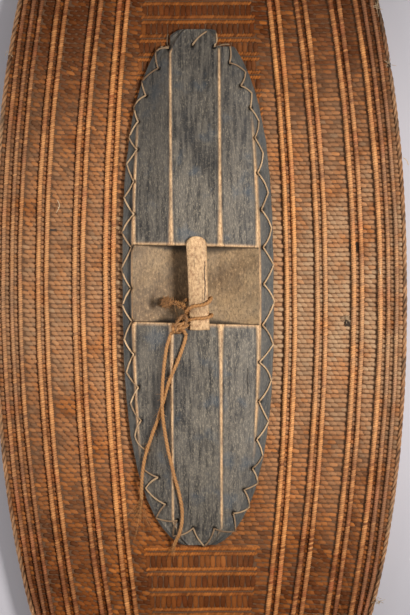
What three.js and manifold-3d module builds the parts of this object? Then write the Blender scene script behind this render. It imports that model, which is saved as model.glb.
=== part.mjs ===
// A long oval shield of raffia twined over cane, lying on its outer face with the grip side up.
// Millimetres. +X runs across the shield, +Y along it to the upper end, +Z up out of the grip side.
// The origin is on the resting plane, under the middle of the shield.
import * as THREE from 'three';
import { mergeVertices } from 'three/addons/utils/BufferGeometryUtils.js';
import Module from 'manifold-3d';

const wasm = await Module();
wasm.setup();

// Clearance between pieces that touch
const GAP = 0.3;
const WELD = 1e-4;

// Outline and dish of the woven sheet
const HALF_WIDE = 245;
const HALF_LONG = 636;
const OUTLINE_POWER = 2.17;
const WEAVE_THICK = 8;
const FLAT_SHARE = 0.46;
const SIDE_RISE = 28;
const END_RISE = 16;
const ROUND_STEPS = 56;
const DISH_RINGS = 6;

// Raised corded bands of the centre panel
const BAND_START = 318;
const BAND_LAST = 596;
const BAND_PITCH_UPPER = 22.1;
const BAND_PITCH_LOWER = 24;
const BAND_HALF_WIDE = 4;
const BAND_PROUD = 1.3;
const BAND_DEEP = 1.2;
const BAND_MARGIN = 21;

// Wrapped rods: each group's middle, how many rods it has, and how fast it closes towards the ends
const RIB_GROUPS = [
  { middle: 108.3, rods: 2, closing: 1.54e-6 },
  { middle: 145, rods: 2, closing: 1.42e-6 },
  { middle: 188, rods: 2, closing: 1.22e-6 },
  { middle: 223.5, rods: 3, closing: 1.1e-6 },
];
const RIB_SPACING = 9.5;
const RIB_WIDE = 5.8;
const RIB_HIGH = 4.4;
const RIB_SEAT = 0.5;
const RIB_SIDES = 5;
const RIB_STEPS = 10;
const RIB_PUSH = 3.3;

// Rim binding
const RIM_WIDE = 5.2;
const RIM_HIGH = 11.5;
const RIM_SIDES = 6;
const RIM_ROOM = 0.8;

// Carved board, in its own frame: x across, y along, z up from its flat back
const BOARD_X = -2.4;
const BOARD_HALF_WIDE = 89.3;
const BOARD_HALF_LONG = 307.5;
const BOARD_TIP = 311;
const BOARD_ROWS = 22;
const EDGE_POWER_LONG = 2.8;
const EDGE_POWER_WIDE = 0.45;
const EDGE_HIGH = 6;
const FOOT_HIGH = 7.5;
const FOOT_WIDE = 1.6;
const RIDGE_AXIS_X = -2.5;
const OUTER_RIDGE_X = 75;
const OUTER_RIDGE_HIGH = 15;
const OUTER_RIDGE_END = 216;
const OUTER_RIDGE_CLOSING = 0.11;
const INNER_RIDGE_X = 29;
const INNER_RIDGE_SHARE = 0.62;
const CROWN_MIDDLE = 36;
const CROWN_END = 8;
const SIDE_HOLLOW = 1.8;
const CENTRE_HOLLOW = 1.3;

// Its upper end is a tongue between two square shoulders
const SHOULDER_Y = 286.5;
const TONGUE_LEFT = -31;
const TONGUE_RIGHT = 22.5;

// Hollow for the hand and the bar across it
const RECESS_Y = 2.7;
const RECESS_LONG = 92;
const RECESS_SKEW = -1.8;
const RECESS_FLOOR = [[75, 15.2], [52, 9.6], [24, 5.5]];
const BAR_X = -0.2;
const BAR_Y = 4.2;
const BAR_LONG = 110.6;
const BAR_WIDE = 24;
const BAR_UNDER = 27;
const BAR_TOP = 39.5;
const BAR_LEAN = 1.86;
const BAR_EASED = 3.5;

// Lacing thong
const LACE_HOLES = 36;
const LACE_HOLE_INSET = 9;
const LACE_HOLE_INSET_END = 17;
const LACE_EDGE_INSET = 1.2;
const LACE_WIDE = 1.8;
const LACE_HIGH = 1.2;
const LACE_LIFT = 0.5;
const LACE_REACH = 4;

// Fibre cord: its thickness, the turns round the bar, the knot and the frayed end
const CORD = 4.4;
const CORD_SIDES = 8;
const CORD_LIFT = 0.7;
const TURN_ENDS_Y = [-15.5, -13, -31, -33.5, -41];
const TURN_POWER = 4;
const TURN_STEPS = 28;
const TURN_STOP = 0.2;
const KNOT = { at: [-23.5, -45, 49.6], size: [9, 10, 5] };
const FRAYED_END = { at: [-39.5, -18, 22.6], size: [7.5, 7, 6.5] };
const STALK = { from: [-36, -18, 25], to: [-17, -15.6, 41.5] };

// The two free strands, from the knot down over the board
const TAIL_LEFT = [
  [-16.6, -57, 45.5], [-18.7, -65, 45.1], [-22.5, -76, 44.8], [-27, -88, 44.5], [-32, -99.5, 44],
  [-36.8, -110.5, 42.1], [-40.7, -122.5, 39.4], [-44, -134.5, 36.8], [-47.2, -144, 34.5],
  [-51.4, -158, 31.3], [-56.2, -170, 28.2], [-60.3, -182, 25.7], [-64.5, -194, 23.3],
  [-67.5, -206, 21.3], [-69.5, -218, 20.3], [-70.6, -230, 20.1], [-71.2, -241.5, 16.6],
  [-71.4, -253.5, 11.4],
];
const TAIL_RIGHT = [
  [-34.9, -55.5, 45.9], [-37.1, -62, 44.4], [-39.5, -70, 42.8], [-41.5, -82, 41.3], [-43.1, -94, 40.2],
  [-44.3, -106, 40.3], [-45.1, -118, 41.8], [-45.5, -129.5, 41.9], [-45.5, -140.5, 41.3],
  [-45.1, -150, 40.3], [-44.3, -158, 38.6], [-42.8, -170, 35.6], [-40.7, -183, 34.5],
  [-38.3, -196, 34.2], [-35.6, -207, 34], [-33.2, -218, 33.2], [-30.6, -228.5, 31.7],
  [-27.6, -239, 30.1], [-24.9, -251, 28.4], [-23.1, -263, 26.6], [-22.8, -273.5, 25],
  [-24, -284, 24.2], [-26.4, -293, 24.6], [-30, -301, 19.6], [-33, -308.5, 13.4],
];
const TAIL_STEPS = 28;

// Finishes
const raffia = new THREE.MeshStandardMaterial({ color: 0xa5683f, roughness: 0.85, metalness: 0 });
const rodWrap = new THREE.MeshStandardMaterial({ color: 0xc27d48, roughness: 0.75, metalness: 0 });
const binding = new THREE.MeshStandardMaterial({ color: 0x96602f, roughness: 0.8, metalness: 0 });
const wood = new THREE.MeshStandardMaterial({ color: 0x6a6058, roughness: 0.7, metalness: 0 });
const thong = new THREE.MeshStandardMaterial({ color: 0xab8a68, roughness: 0.7, metalness: 0 });
const fibre = new THREE.MeshStandardMaterial({ color: 0xa66a38, roughness: 0.85, metalness: 0 });

const shield = new THREE.Group();

// Signed power, the base of the superellipses
function spow(value, power) {
  return Math.sign(value) * Math.abs(value) ** power;
}

// A point of the shield's outline at an angle, pulled in by an inset
function outlinePoint(angle, inset) {
  const power = 2 / OUTLINE_POWER;
  return [
    (HALF_WIDE - inset) * spow(Math.cos(angle), power),
    (HALF_LONG - inset) * spow(Math.sin(angle), power),
  ];
}

// Half the width of the outline at a place along it, pulled in by an inset
function halfWidthAt(y, inset) {
  const share = Math.min(1, Math.abs(y) / (HALF_LONG - inset));
  return (HALF_WIDE - inset) * (1 - share ** OUTLINE_POWER) ** (1 / OUTLINE_POWER);
}

// Height of the sheet's outer face: flat in the middle, rising to the rim all round
function dish(x, y) {
  const across = (Math.abs(x) / HALF_WIDE) ** OUTLINE_POWER;
  const along = (Math.abs(y) / HALF_LONG) ** OUTLINE_POWER;
  const total = across + along;
  const share = total ** (1 / OUTLINE_POWER);
  if (share <= FLAT_SHARE) return 0;
  const rise = END_RISE + ((SIDE_RISE - END_RISE) * across) / total;
  return rise * ((share - FLAT_SHARE) / (1 - FLAT_SHARE)) ** 2;
}

// Moves every vertex of a geometry by a function of its place
function bend(geometry, place) {
  const position = geometry.attributes.position;
  for (let i = 0; i < position.count; i += 1) {
    position.setXYZ(i, ...place(position.getX(i), position.getY(i), position.getZ(i)));
  }
  return closed(geometry);
}

// Keeps the positions alone and merges the shared vertices
function closed(geometry) {
  geometry.deleteAttribute('normal');
  geometry.deleteAttribute('uv');
  return mergeVertices(geometry, WELD);
}

function toSolid(geometry) {
  const merged = closed(geometry);
  return new wasm.Manifold(new wasm.Mesh({
    numProp: 3,
    vertProperties: new Float32Array(merged.attributes.position.array),
    triVerts: new Uint32Array(merged.index.array),
  }));
}

function toGeometry(solid) {
  const mesh = solid.getMesh();
  const geometry = new THREE.BufferGeometry();
  geometry.setAttribute('position', new THREE.BufferAttribute(mesh.vertProperties, 3));
  geometry.setIndex(new THREE.BufferAttribute(mesh.triVerts, 1));
  return geometry;
}

function addPiece(name, geometry, material, x = 0, z = 0) {
  const shaded = geometry.toNonIndexed();
  shaded.computeVertexNormals();
  const mesh = new THREE.Mesh(shaded, material.clone());
  mesh.name = name;
  mesh.position.set(x, 0, z);
  shield.add(mesh);
}

// The woven sheet: a disc of rings drawn out to the outline and raised into the dish
function wovenSheet() {
  const profile = [];
  for (const level of [0, 1]) {
    const rings = [new THREE.Vector2(0, level)];
    for (let i = 0; i <= DISH_RINGS; i += 1) {
      rings.push(new THREE.Vector2(FLAT_SHARE + ((1 - FLAT_SHARE) * i) / DISH_RINGS, level));
    }
    profile.push(...(level === 0 ? rings : rings.reverse()));
  }
  const inset = RIM_WIDE + RIM_ROOM;
  return bend(new THREE.LatheGeometry(profile, ROUND_STEPS), (x, level, z) => {
    const ring = Math.hypot(x, z);
    const [px, py] = outlinePoint(Math.atan2(-z, x), inset);
    return [ring * px, ring * py, dish(ring * px, ring * py) + level * WEAVE_THICK];
  });
}

// Where a rod would lie across the shield, at a place along it: its group closes in, its spacing stays
function freeRibX(group, number, y) {
  return group.middle * (1 - group.closing * y * y) + (number - (group.rods - 1) / 2) * RIB_SPACING;
}

// The furthest out that a rod can lie beside the rim
function ribLimit(y) {
  return halfWidthAt(y, RIM_WIDE + RIM_ROOM + RIB_WIDE / 2);
}

function ribX(group, number, y) {
  return Math.min(freeRibX(group, number, y), ribLimit(y));
}

// How far along the shield a rod runs before the rim has pushed it in too far
function ribEnd(group, number) {
  let inside = 0;
  let outside = HALF_LONG;
  for (let i = 0; i < 30; i += 1) {
    const middle = (inside + outside) / 2;
    if (freeRibX(group, number, middle) - ribLimit(middle) < RIB_PUSH) inside = middle;
    else outside = middle;
  }
  return inside;
}

// One raised band of cords across the centre panel
function cordedBand(y) {
  const reach = ribX(RIB_GROUPS[0], 0, y) - BAND_MARGIN;
  const bar = new THREE.BoxGeometry(2 * reach, 2 * BAND_HALF_WIDE, 1, 4, 2, 1);
  return bend(bar, (x, across, z) => {
    const crest = Math.abs(across) < 1 ? BAND_PROUD : 0.3;
    const top = dish(x, y + across) + WEAVE_THICK;
    return [x, y + across, z > 0 ? top + crest : top - BAND_DEEP];
  });
}

function wovenBody() {
  let body = toSolid(wovenSheet());
  for (let y = BAND_START; y < BAND_LAST; y += BAND_PITCH_UPPER) {
    body = body.add(toSolid(cordedBand(y)));
  }
  for (let y = BAND_START; y < BAND_LAST; y += BAND_PITCH_LOWER) {
    body = body.add(toSolid(cordedBand(-y)));
  }
  return toGeometry(body);
}

function rib(group, number, side) {
  const end = ribEnd(group, number);
  const rod = new THREE.CylinderGeometry(0.5, 0.5, 2, RIB_SIDES, RIB_STEPS, false, Math.PI);
  return bend(rod, (x, along, z) => {
    const y = along * end;
    const centre = side * ribX(group, number, y);
    const base = dish(centre, y) + WEAVE_THICK + RIB_SEAT;
    return [centre + x * RIB_WIDE, y, base + (z + 0.5) * RIB_HIGH];
  });
}

// A closed ring of a flattened section that follows a path given by the turn from 0 to 1
function ringAlong(path, wide, high, sides, steps) {
  const torus = new THREE.TorusGeometry(2, 1, sides, steps);
  return bend(torus, (x, y, z) => {
    const turn = (Math.atan2(y, x) / (2 * Math.PI) + 1) % 1;
    const out = Math.hypot(x, y) - 2;
    const centre = path(turn);
    const [nx, ny] = centre.out;
    return [centre.x + (nx * out * wide) / 2, centre.y + (ny * out * wide) / 2, centre.z + (z * high) / 2];
  });
}

function rimBinding() {
  const step = 1e-4;
  return ringAlong((turn) => {
    const angle = Math.round(turn * ROUND_STEPS) / ROUND_STEPS * 2 * Math.PI;
    const [x, y] = outlinePoint(angle, RIM_WIDE / 2);
    const [ax, ay] = outlinePoint(angle - step, RIM_WIDE / 2);
    const [bx, by] = outlinePoint(angle + step, RIM_WIDE / 2);
    const length = Math.hypot(bx - ax, by - ay);
    return { x, y, z: dish(x, y) + WEAVE_THICK / 2, out: [(by - ay) / length, (ax - bx) / length] };
  }, RIM_WIDE, RIM_HIGH, RIM_SIDES, ROUND_STEPS);
}

// The board's edge at an angle, pulled in by an inset across and an inset along
function boardEdge(angle, across, along) {
  return [
    (BOARD_HALF_WIDE - across) * spow(Math.cos(angle), 2 * EDGE_POWER_WIDE),
    (BOARD_HALF_LONG - along) * spow(Math.sin(angle), 2 / EDGE_POWER_LONG),
  ];
}

function boardHalfWidth(y) {
  return BOARD_HALF_WIDE * (1 - (Math.abs(y) / BOARD_TIP) ** EDGE_POWER_LONG) ** EDGE_POWER_WIDE;
}

// The board's section at a place along it, as points from its left edge to its right edge
function boardSection(y) {
  const half = boardHalfWidth(y);
  const far = Math.min(1, Math.abs(y) / OUTER_RIDGE_END);
  const crown = CROWN_END + (CROWN_MIDDLE - CROWN_END) * (1 - (y / BOARD_TIP) ** 2);
  const outerHigh = OUTER_RIDGE_HIGH + (FOOT_HIGH - OUTER_RIDGE_HIGH) * far ** 2;
  const points = [];
  for (const side of [-1, 1]) {
    const room = half - side * RIDGE_AXIS_X;
    const outer = Math.min(OUTER_RIDGE_X * (1 - OUTER_RIDGE_CLOSING * far ** 2), room - 3 * FOOT_WIDE);
    const inner = Math.min(INNER_RIDGE_X, room * INNER_RIDGE_SHARE);
    const hollow = (crown + outerHigh) / 2 - SIDE_HOLLOW * (1 - far ** 2 / 2);
    points.push([side * half, EDGE_HIGH]);
    points.push([RIDGE_AXIS_X + side * (outer + FOOT_WIDE), FOOT_HIGH]);
    points.push([RIDGE_AXIS_X + side * outer, outerHigh]);
    points.push([RIDGE_AXIS_X + (side * (outer + inner)) / 2, hollow]);
    points.push([RIDGE_AXIS_X + side * inner, crown]);
  }
  points.push([RIDGE_AXIS_X, crown - CENTRE_HOLLOW]);
  return points.sort((a, b) => a[0] - b[0]);
}

// Height of the board's face above its back
function boardTop(x, y) {
  const points = boardSection(y);
  for (let i = 1; i < points.length; i += 1) {
    const [ax, az] = points[i - 1];
    const [bx, bz] = points[i];
    if (x <= bx) return az + ((bz - az) * Math.max(0, x - ax)) / (bx - ax);
  }
  return EDGE_HIGH;
}

function boardBlank() {
  const columns = boardSection(0).length - 1;
  const box = new THREE.BoxGeometry(columns, 2, 1, columns, BOARD_ROWS, 1);
  return bend(box, (x, along, z) => {
    const y = BOARD_HALF_LONG * Math.sin((along * Math.PI) / 2);
    const [px, pz] = boardSection(y)[Math.round(x + columns / 2)];
    return [px, y, z > 0 ? pz : 0];
  });
}

// A solid drawn along Y from an outline in X and Z
function drawnAlong(shape, long) {
  const geometry = new THREE.ExtrudeGeometry(shape, { depth: long, bevelEnabled: false, curveSegments: 4 });
  return geometry.rotateX(Math.PI / 2).translate(0, long / 2, 0);
}

function recess() {
  const right = RECESS_FLOOR.map(([x, z]) => new THREE.Vector2(x, z));
  const left = RECESS_FLOOR.map(([x, z]) => new THREE.Vector2(-x, z)).reverse();
  const above = 2 * CROWN_MIDDLE;
  const [edge] = RECESS_FLOOR[0];
  const outline = [...right, ...left, new THREE.Vector2(-edge, above), new THREE.Vector2(edge, above)];
  return drawnAlong(new THREE.Shape(outline), RECESS_LONG)
    .rotateZ(THREE.MathUtils.degToRad(RECESS_SKEW))
    .translate(RIDGE_AXIS_X, RECESS_Y, 0);
}

// The bar: an eased section, cut square at its lower end and rounded at its upper end
function gripBar() {
  const half = BAR_WIDE / 2;
  const e = BAR_EASED;
  const section = new THREE.Shape([
    [-half + e, BAR_UNDER], [half - e, BAR_UNDER], [half, BAR_UNDER + e], [half, BAR_TOP - e],
    [half - e, BAR_TOP], [-half + e, BAR_TOP], [-half, BAR_TOP - e], [-half, BAR_UNDER + e],
  ].map(([x, z]) => new THREE.Vector2(x, z)));
  const plan = new THREE.Shape();
  plan.moveTo(-half, -BAR_LONG / 2);
  plan.lineTo(half, -BAR_LONG / 2);
  plan.lineTo(half, BAR_LONG / 2 - half * 0.6);
  plan.quadraticCurveTo(half, BAR_LONG / 2, 0, BAR_LONG / 2);
  plan.quadraticCurveTo(-half, BAR_LONG / 2, -half, BAR_LONG / 2 - half * 0.6);
  const upright = new THREE.ExtrudeGeometry(plan, { depth: 2 * BAR_TOP, bevelEnabled: false, curveSegments: 4 });
  const bar = toSolid(drawnAlong(section, BAR_LONG)).intersect(toSolid(upright));
  return toGeometry(bar).rotateZ(THREE.MathUtils.degToRad(BAR_LEAN)).translate(BAR_X, BAR_Y, 0);
}

// The corner cut away beside the tongue, on one side
function shoulderCut(side, tongue) {
  const corner = new THREE.BoxGeometry(BOARD_HALF_WIDE, BOARD_HALF_LONG, 2 * CROWN_MIDDLE);
  return corner.translate(tongue + (side * BOARD_HALF_WIDE) / 2, SHOULDER_Y + BOARD_HALF_LONG / 2, 0);
}

function gripBoard() {
  const carved = toSolid(boardBlank())
    .subtract(toSolid(recess()))
    .subtract(toSolid(shoulderCut(-1, TONGUE_LEFT)))
    .subtract(toSolid(shoulderCut(1, TONGUE_RIGHT)));
  return toGeometry(carved.add(toSolid(gripBar())));
}

// The line that the lacing's holes and edge points are spaced along
class LaceLine extends THREE.Curve {
  getPoint(turn, target = new THREE.Vector3()) {
    const [x, y] = boardEdge(turn * 2 * Math.PI, LACE_HOLE_INSET / 2, LACE_HOLE_INSET_END / 2);
    return target.set(x, y, 0);
  }
}

// A hole's place across the board, kept on the thin edge outside the outer ridge
function clearOfRidge(x, y) {
  if (Math.abs(y) > OUTER_RIDGE_END) return x;
  const section = boardSection(y);
  const left = section[1][0] - LACE_WIDE / 2;
  const right = section[section.length - 2][0] + LACE_WIDE / 2;
  return x < 0 ? Math.min(x, left) : Math.max(x, right);
}

// The highest of the board's face close to a place, for the thong to lie on
function highestNear(x, y) {
  const steps = Math.abs(y) > OUTER_RIDGE_END ? [-LACE_REACH, 0, LACE_REACH] : [0];
  return Math.max(...steps.map((step) => boardTop(x - Math.sign(x) * Math.abs(step), y + step)));
}

function lacing() {
  const line = new LaceLine();
  line.arcLengthDivisions = 2000;
  const stops = 2 * LACE_HOLES;
  return ringAlong((turn) => {
    const stop = Math.round(turn * stops);
    const angle = line.getUtoTmapping(stop / stops) * 2 * Math.PI;
    const atHole = stop % 2 === 0;
    const across = atHole ? LACE_HOLE_INSET : LACE_EDGE_INSET;
    const along = atHole ? LACE_HOLE_INSET_END : LACE_EDGE_INSET;
    const [free, y] = boardEdge(angle, across, along);
    const x = atHole ? clearOfRidge(free, y) : free;
    const length = Math.hypot(x / BOARD_HALF_WIDE, y / BOARD_HALF_LONG);
    const out = [x / BOARD_HALF_WIDE / length, y / BOARD_HALF_LONG / length];
    return { x, y, z: highestNear(x, y) + LACE_HIGH / 2 + LACE_LIFT, out };
  }, LACE_WIDE, LACE_HIGH, 4, stops);
}

function roundSection(diameter, sides) {
  const points = [];
  for (let i = 0; i < sides; i += 1) {
    const angle = (2 * Math.PI * i) / sides;
    points.push(new THREE.Vector2(Math.cos(angle), Math.sin(angle)).multiplyScalar(diameter / 2));
  }
  return new THREE.Shape(points);
}

function tube(points, diameter, steps) {
  const path = new THREE.CatmullRomCurve3(points.map((p) => new THREE.Vector3(...p)), false, 'centripetal');
  return new THREE.ExtrudeGeometry(roundSection(diameter, CORD_SIDES), { steps, extrudePath: path });
}

// The turns round the bar: under it from the left, over it from the right, twice
function barTurns() {
  const points = [];
  const wide = BAR_WIDE / 2 + CORD / 2 + CORD_LIFT;
  const high = (BAR_TOP - BAR_UNDER) / 2 + CORD / 2 + CORD_LIFT;
  const middle = WEAVE_THICK + GAP + (BAR_TOP + BAR_UNDER) / 2;
  const halves = TURN_ENDS_Y.length - 1;
  for (let i = 0; i <= TURN_STEPS; i += 1) {
    const turned = (i / TURN_STEPS) * (halves - TURN_STOP);
    const half = Math.min(Math.floor(turned), halves - 1);
    const y = THREE.MathUtils.lerp(TURN_ENDS_Y[half], TURN_ENDS_Y[half + 1], turned - half);
    const angle = Math.PI * (1 + turned);
    const centre = BOARD_X + BAR_X - Math.sin(THREE.MathUtils.degToRad(BAR_LEAN)) * (y - BAR_Y);
    points.push([
      centre + wide * spow(Math.cos(angle), 2 / TURN_POWER),
      y,
      middle + high * spow(Math.sin(angle), 2 / TURN_POWER),
    ]);
  }
  points.push(KNOT.at);
  return tube(points, CORD, TURN_STEPS + 6);
}

function lump({ at, size }) {
  return new THREE.SphereGeometry(1, 10, 7).scale(...size).translate(...at);
}

function cordLashing() {
  const stalk = tube([STALK.from, STALK.to], CORD, 2);
  return toGeometry(toSolid(barTurns())
    .add(toSolid(lump(KNOT)))
    .add(toSolid(lump(FRAYED_END)))
    .add(toSolid(stalk)));
}

addPiece('woven_body', wovenBody(), raffia);
for (const [sideName, side] of [['left', -1], ['right', 1]]) {
  let count = 0;
  for (const group of RIB_GROUPS) {
    for (let number = 0; number < group.rods; number += 1) {
      count += 1;
      addPiece(`rib_${sideName}_${count}`, rib(group, number, side), rodWrap);
    }
  }
}
addPiece('rim_binding', rimBinding(), binding);
addPiece('grip_board', gripBoard(), wood, BOARD_X, WEAVE_THICK + GAP);
addPiece('lacing', lacing(), thong, BOARD_X, WEAVE_THICK + GAP);
addPiece('cord_lashing', cordLashing(), fibre);
addPiece('cord_tail_left', closed(tube(TAIL_LEFT, CORD, TAIL_STEPS)), fibre);
addPiece('cord_tail_right', closed(tube(TAIL_RIGHT, CORD, TAIL_STEPS)), fibre);

export default shield;
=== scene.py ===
"""Looks of a long oval raffia shield that lies on its outer face with the grip side up."""

import logging
import math
from collections.abc import Callable
from dataclasses import dataclass, field
from enum import Enum

import bpy
import numpy as np
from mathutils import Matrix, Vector


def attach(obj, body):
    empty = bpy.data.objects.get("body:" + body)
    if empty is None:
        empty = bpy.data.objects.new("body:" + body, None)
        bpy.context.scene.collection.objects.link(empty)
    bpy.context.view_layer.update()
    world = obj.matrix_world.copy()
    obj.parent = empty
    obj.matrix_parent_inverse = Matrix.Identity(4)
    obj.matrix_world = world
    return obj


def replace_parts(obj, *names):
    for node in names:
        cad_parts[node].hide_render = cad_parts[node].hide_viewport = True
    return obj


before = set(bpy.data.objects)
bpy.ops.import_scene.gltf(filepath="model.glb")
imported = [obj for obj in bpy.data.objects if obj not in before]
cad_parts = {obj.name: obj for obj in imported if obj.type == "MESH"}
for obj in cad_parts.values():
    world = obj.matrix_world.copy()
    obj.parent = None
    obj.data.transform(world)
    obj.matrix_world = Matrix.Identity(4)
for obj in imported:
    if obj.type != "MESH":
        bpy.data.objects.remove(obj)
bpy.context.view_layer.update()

LOG = logging.getLogger("shield")
SEED = 20

# Lengths below are millimetres in the shield's own frame, +X across, +Y to the upper end, +Z out of the grip
MM = 0.001
# Twice the area in square metres below which a triangle is dropped
LEAST_FACE = 2e-12

# The view: how large the frame is on the shield, what lies at its middle, how far the shield leans in it, and
# how far the camera is from a plane so high above the floor
VIEW_HIGH = 731.9
VIEW_MIDDLE = (5.7, -24.4)
VIEW_ROLL = -0.0058
VIEW_DISTANCE = 2500.0
VIEW_AIM_HIGH = 18.0

# The floor: half its side, and how far it lies under the shield
FLOOR_HALF = 2600.0
FLOOR_DEPTH = 0.6

# The picture's own measure, for the places that were read off it
PICTURE_MIDDLE = (200.2, 287.0)
PICTURE_STEP = 1.19

Rgb = tuple[int, int, int]
Values = np.ndarray | float
Spans = Callable[[float], list[tuple[float, float]]]


def place(px: float, py: float) -> tuple[float, float]:
    """Return the place on the shield of a point of the picture."""
    return (px - PICTURE_MIDDLE[0]) * PICTURE_STEP, (PICTURE_MIDDLE[1] - py) * PICTURE_STEP


def tint(red: int, green: int, blue: int) -> tuple[float, float, float, float]:
    """Return a linear colour from its usual 0 to 255 values."""
    parts = [c / 255 for c in (red, green, blue)]
    return (*[c / 12.92 if c < 0.04 else ((c + 0.055) / 1.055) ** 2.4 for c in parts], 1.0)


def dice(key: int) -> np.random.Generator:
    """Return one piece's own source of unevenness, the same in each run."""
    return np.random.default_rng(SEED + key)


def spow(value: np.ndarray, power: float) -> np.ndarray:
    """Return a power that keeps the sign of its base."""
    return np.sign(value) * np.abs(value) ** power


def bell(value: Values, middle: Values, width: Values, power: float = 2.0) -> Values:
    """Return 1 at the middle, falling smoothly to 0 away from it."""
    return np.exp(-(np.abs((value - middle) / width) ** power))


def unit(ways: np.ndarray) -> np.ndarray:
    """Return each vector at length 1."""
    return ways / np.linalg.norm(ways, axis=-1, keepdims=True)


def run_along(line: np.ndarray) -> np.ndarray:
    """Return how far along a line each of its points lies."""
    return np.concatenate([[0], np.cumsum(np.linalg.norm(np.diff(line, axis=0), axis=1))])


def wander(x: Values, y: Values, size: float, key: float) -> np.ndarray:
    """Return a smooth uneven value between about -1 and 1.

    Args:
        x: Places across, in millimetres.
        y: Places along, in millimetres.
        size: Length of one swell.
        key: Picks one of many such patterns.

    Returns:
        One value for each place.
    """
    u, v = np.asarray(x, float) / size, np.asarray(y, float) / size
    first = np.sin(2.1 * u + 1.3 * key + 1.7 * np.sin(1.3 * v + key))
    second = np.sin(1.9 * v - 2.3 * key + 1.5 * np.sin(1.7 * u - key))
    return (first + second + np.sin(3.7 * u - 4.3 * v + 5 * key)) / 3


def cells(rows: int, columns: int, around: bool = False) -> np.ndarray:
    """Return the triangles between the points of a grid.

    Args:
        rows: How many rows it has.
        columns: How many points a row has.
        around: True where the last column joins the first.

    Returns:
        Three point numbers for each triangle, with the points counted row by row.
    """
    index = np.arange(rows * columns).reshape(rows, columns)
    if around:
        index = np.hstack([index, index[:, :1]])
    a, b, c, d = index[:-1, :-1], index[:-1, 1:], index[1:, 1:], index[1:, :-1]
    return np.stack([a, b, c, a, c, d], axis=-1).reshape(-1, 3)


def put(name: str, data: bpy.types.ID) -> bpy.types.Object:
    """Return a new object in the scene."""
    made = bpy.data.objects.new(name, data)
    bpy.context.collection.objects.link(made)
    return made


@dataclass(frozen=True)
class Uneven:
    """A value that swings slowly over the shield and jumps a little from strand to strand."""

    level: float
    swing: float
    size: float
    key: float
    jump: float = 0.0

    def at(self, x: np.ndarray, y: np.ndarray, random: np.random.Generator | None = None) -> np.ndarray:
        """Return the value at each place, with its jumps where a source of them is given."""
        value = self.level + self.swing * wander(x, y, self.size, self.key)
        return value + random.normal(0, self.jump, len(x)) if random is not None else value


class Slot(Enum):
    """The record's material slots."""

    WEAVE = "woven_raffia"
    ROD = "wrapped_rod"
    RIM = "rim_plait"
    BOARD = "board_wood"
    THONG = "lacing_thong"
    CORD = "fibre_cord"


class Side(Enum):
    """Left or right of the shield's axis."""

    LEFT = -1
    RIGHT = 1


@dataclass
class Skin:
    """A growing mesh of triangles with the values that its finish reads."""

    points: list[np.ndarray] = field(default_factory=list)
    faces: list[np.ndarray] = field(default_factory=list)
    values: dict[str, list[np.ndarray]] = field(default_factory=dict)
    count: int = 0

    def add(self, points: np.ndarray, faces: np.ndarray, **values: Values) -> None:
        """Add points and the triangles between them.

        Args:
            points: The points.
            faces: Three point numbers for each triangle.
            values: tone, dust, relief or wear, one for all points or one for each.
        """
        points = np.asarray(points, float).reshape(-1, 3)
        self.points.append(points)
        self.faces.append(np.asarray(faces, int).reshape(-1, 3) + self.count)
        for name in ("tone", "dust", "relief", "wear"):
            given = np.broadcast_to(np.asarray(values.get(name, 0.0), float).ravel(), len(points))
            self.values.setdefault(name, []).append(given)
        self.count += len(points)

    def grid(self, points: np.ndarray, around: bool = False, **values: Values) -> None:
        """Add rows by columns of points as a surface, joined round where asked, with values as for add."""
        self.add(points, cells(*points.shape[:2], around), **values)

    def alike(self, points: np.ndarray, faces: np.ndarray, relief: np.ndarray, **values: Values) -> None:
        """Add many shapes that share one pattern of triangles.

        Args:
            points: Shapes by points by three.
            faces: The pattern, for one shape.
            relief: One value for each point of a shape.
            values: tone and dust, one for all shapes or one for each.
        """
        count, size = points.shape[:2]
        every = faces + (np.arange(count) * size)[:, None, None]
        spread = {key: np.repeat(np.broadcast_to(value, count), size) for key, value in values.items()}
        self.add(points, every, relief=np.tile(relief, count), **spread)

    def mesh(self, name: str, material: bpy.types.Material) -> bpy.types.Mesh:
        """Return the mesh with its values and its finish.

        Args:
            name: The mesh's name.
            material: Its finish.

        Returns:
            The new mesh.
        """
        points = np.concatenate(self.points) * MM
        faces = np.concatenate(self.faces)
        corners = points[faces]
        spread = np.cross(corners[:, 1] - corners[:, 0], corners[:, 2] - corners[:, 0])
        faces = faces[np.linalg.norm(spread, axis=1) > LEAST_FACE]
        mesh = bpy.data.meshes.new(name)
        mesh.vertices.add(len(points))
        mesh.vertices.foreach_set("co", points.ravel())
        mesh.loops.add(faces.size)
        mesh.loops.foreach_set("vertex_index", faces.ravel())
        mesh.polygons.add(len(faces))
        mesh.polygons.foreach_set("loop_start", np.arange(0, faces.size, 3))
        mesh.polygons.foreach_set("use_smooth", np.ones(len(faces), bool))
        for key, parts in self.values.items():
            layer = mesh.attributes.new(key, "FLOAT", "POINT")
            layer.data.foreach_set("value", np.concatenate(parts))
        mesh.update()
        mesh.validate()
        mesh.materials.append(material)
        return mesh

    def piece(self, name: str, material: bpy.types.Material, slot: Slot) -> bpy.types.Object:
        """Make the mesh an object that rides on the shield.

        Args:
            name: The piece's name.
            material: Its finish.
            slot: Not used.

        Returns:
            The new object.
        """
        made = put(name, self.mesh(name, material))
        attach(made, "root")
        LOG.info("%s: %d triangles", name, len(made.data.polygons))
        return made


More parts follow.
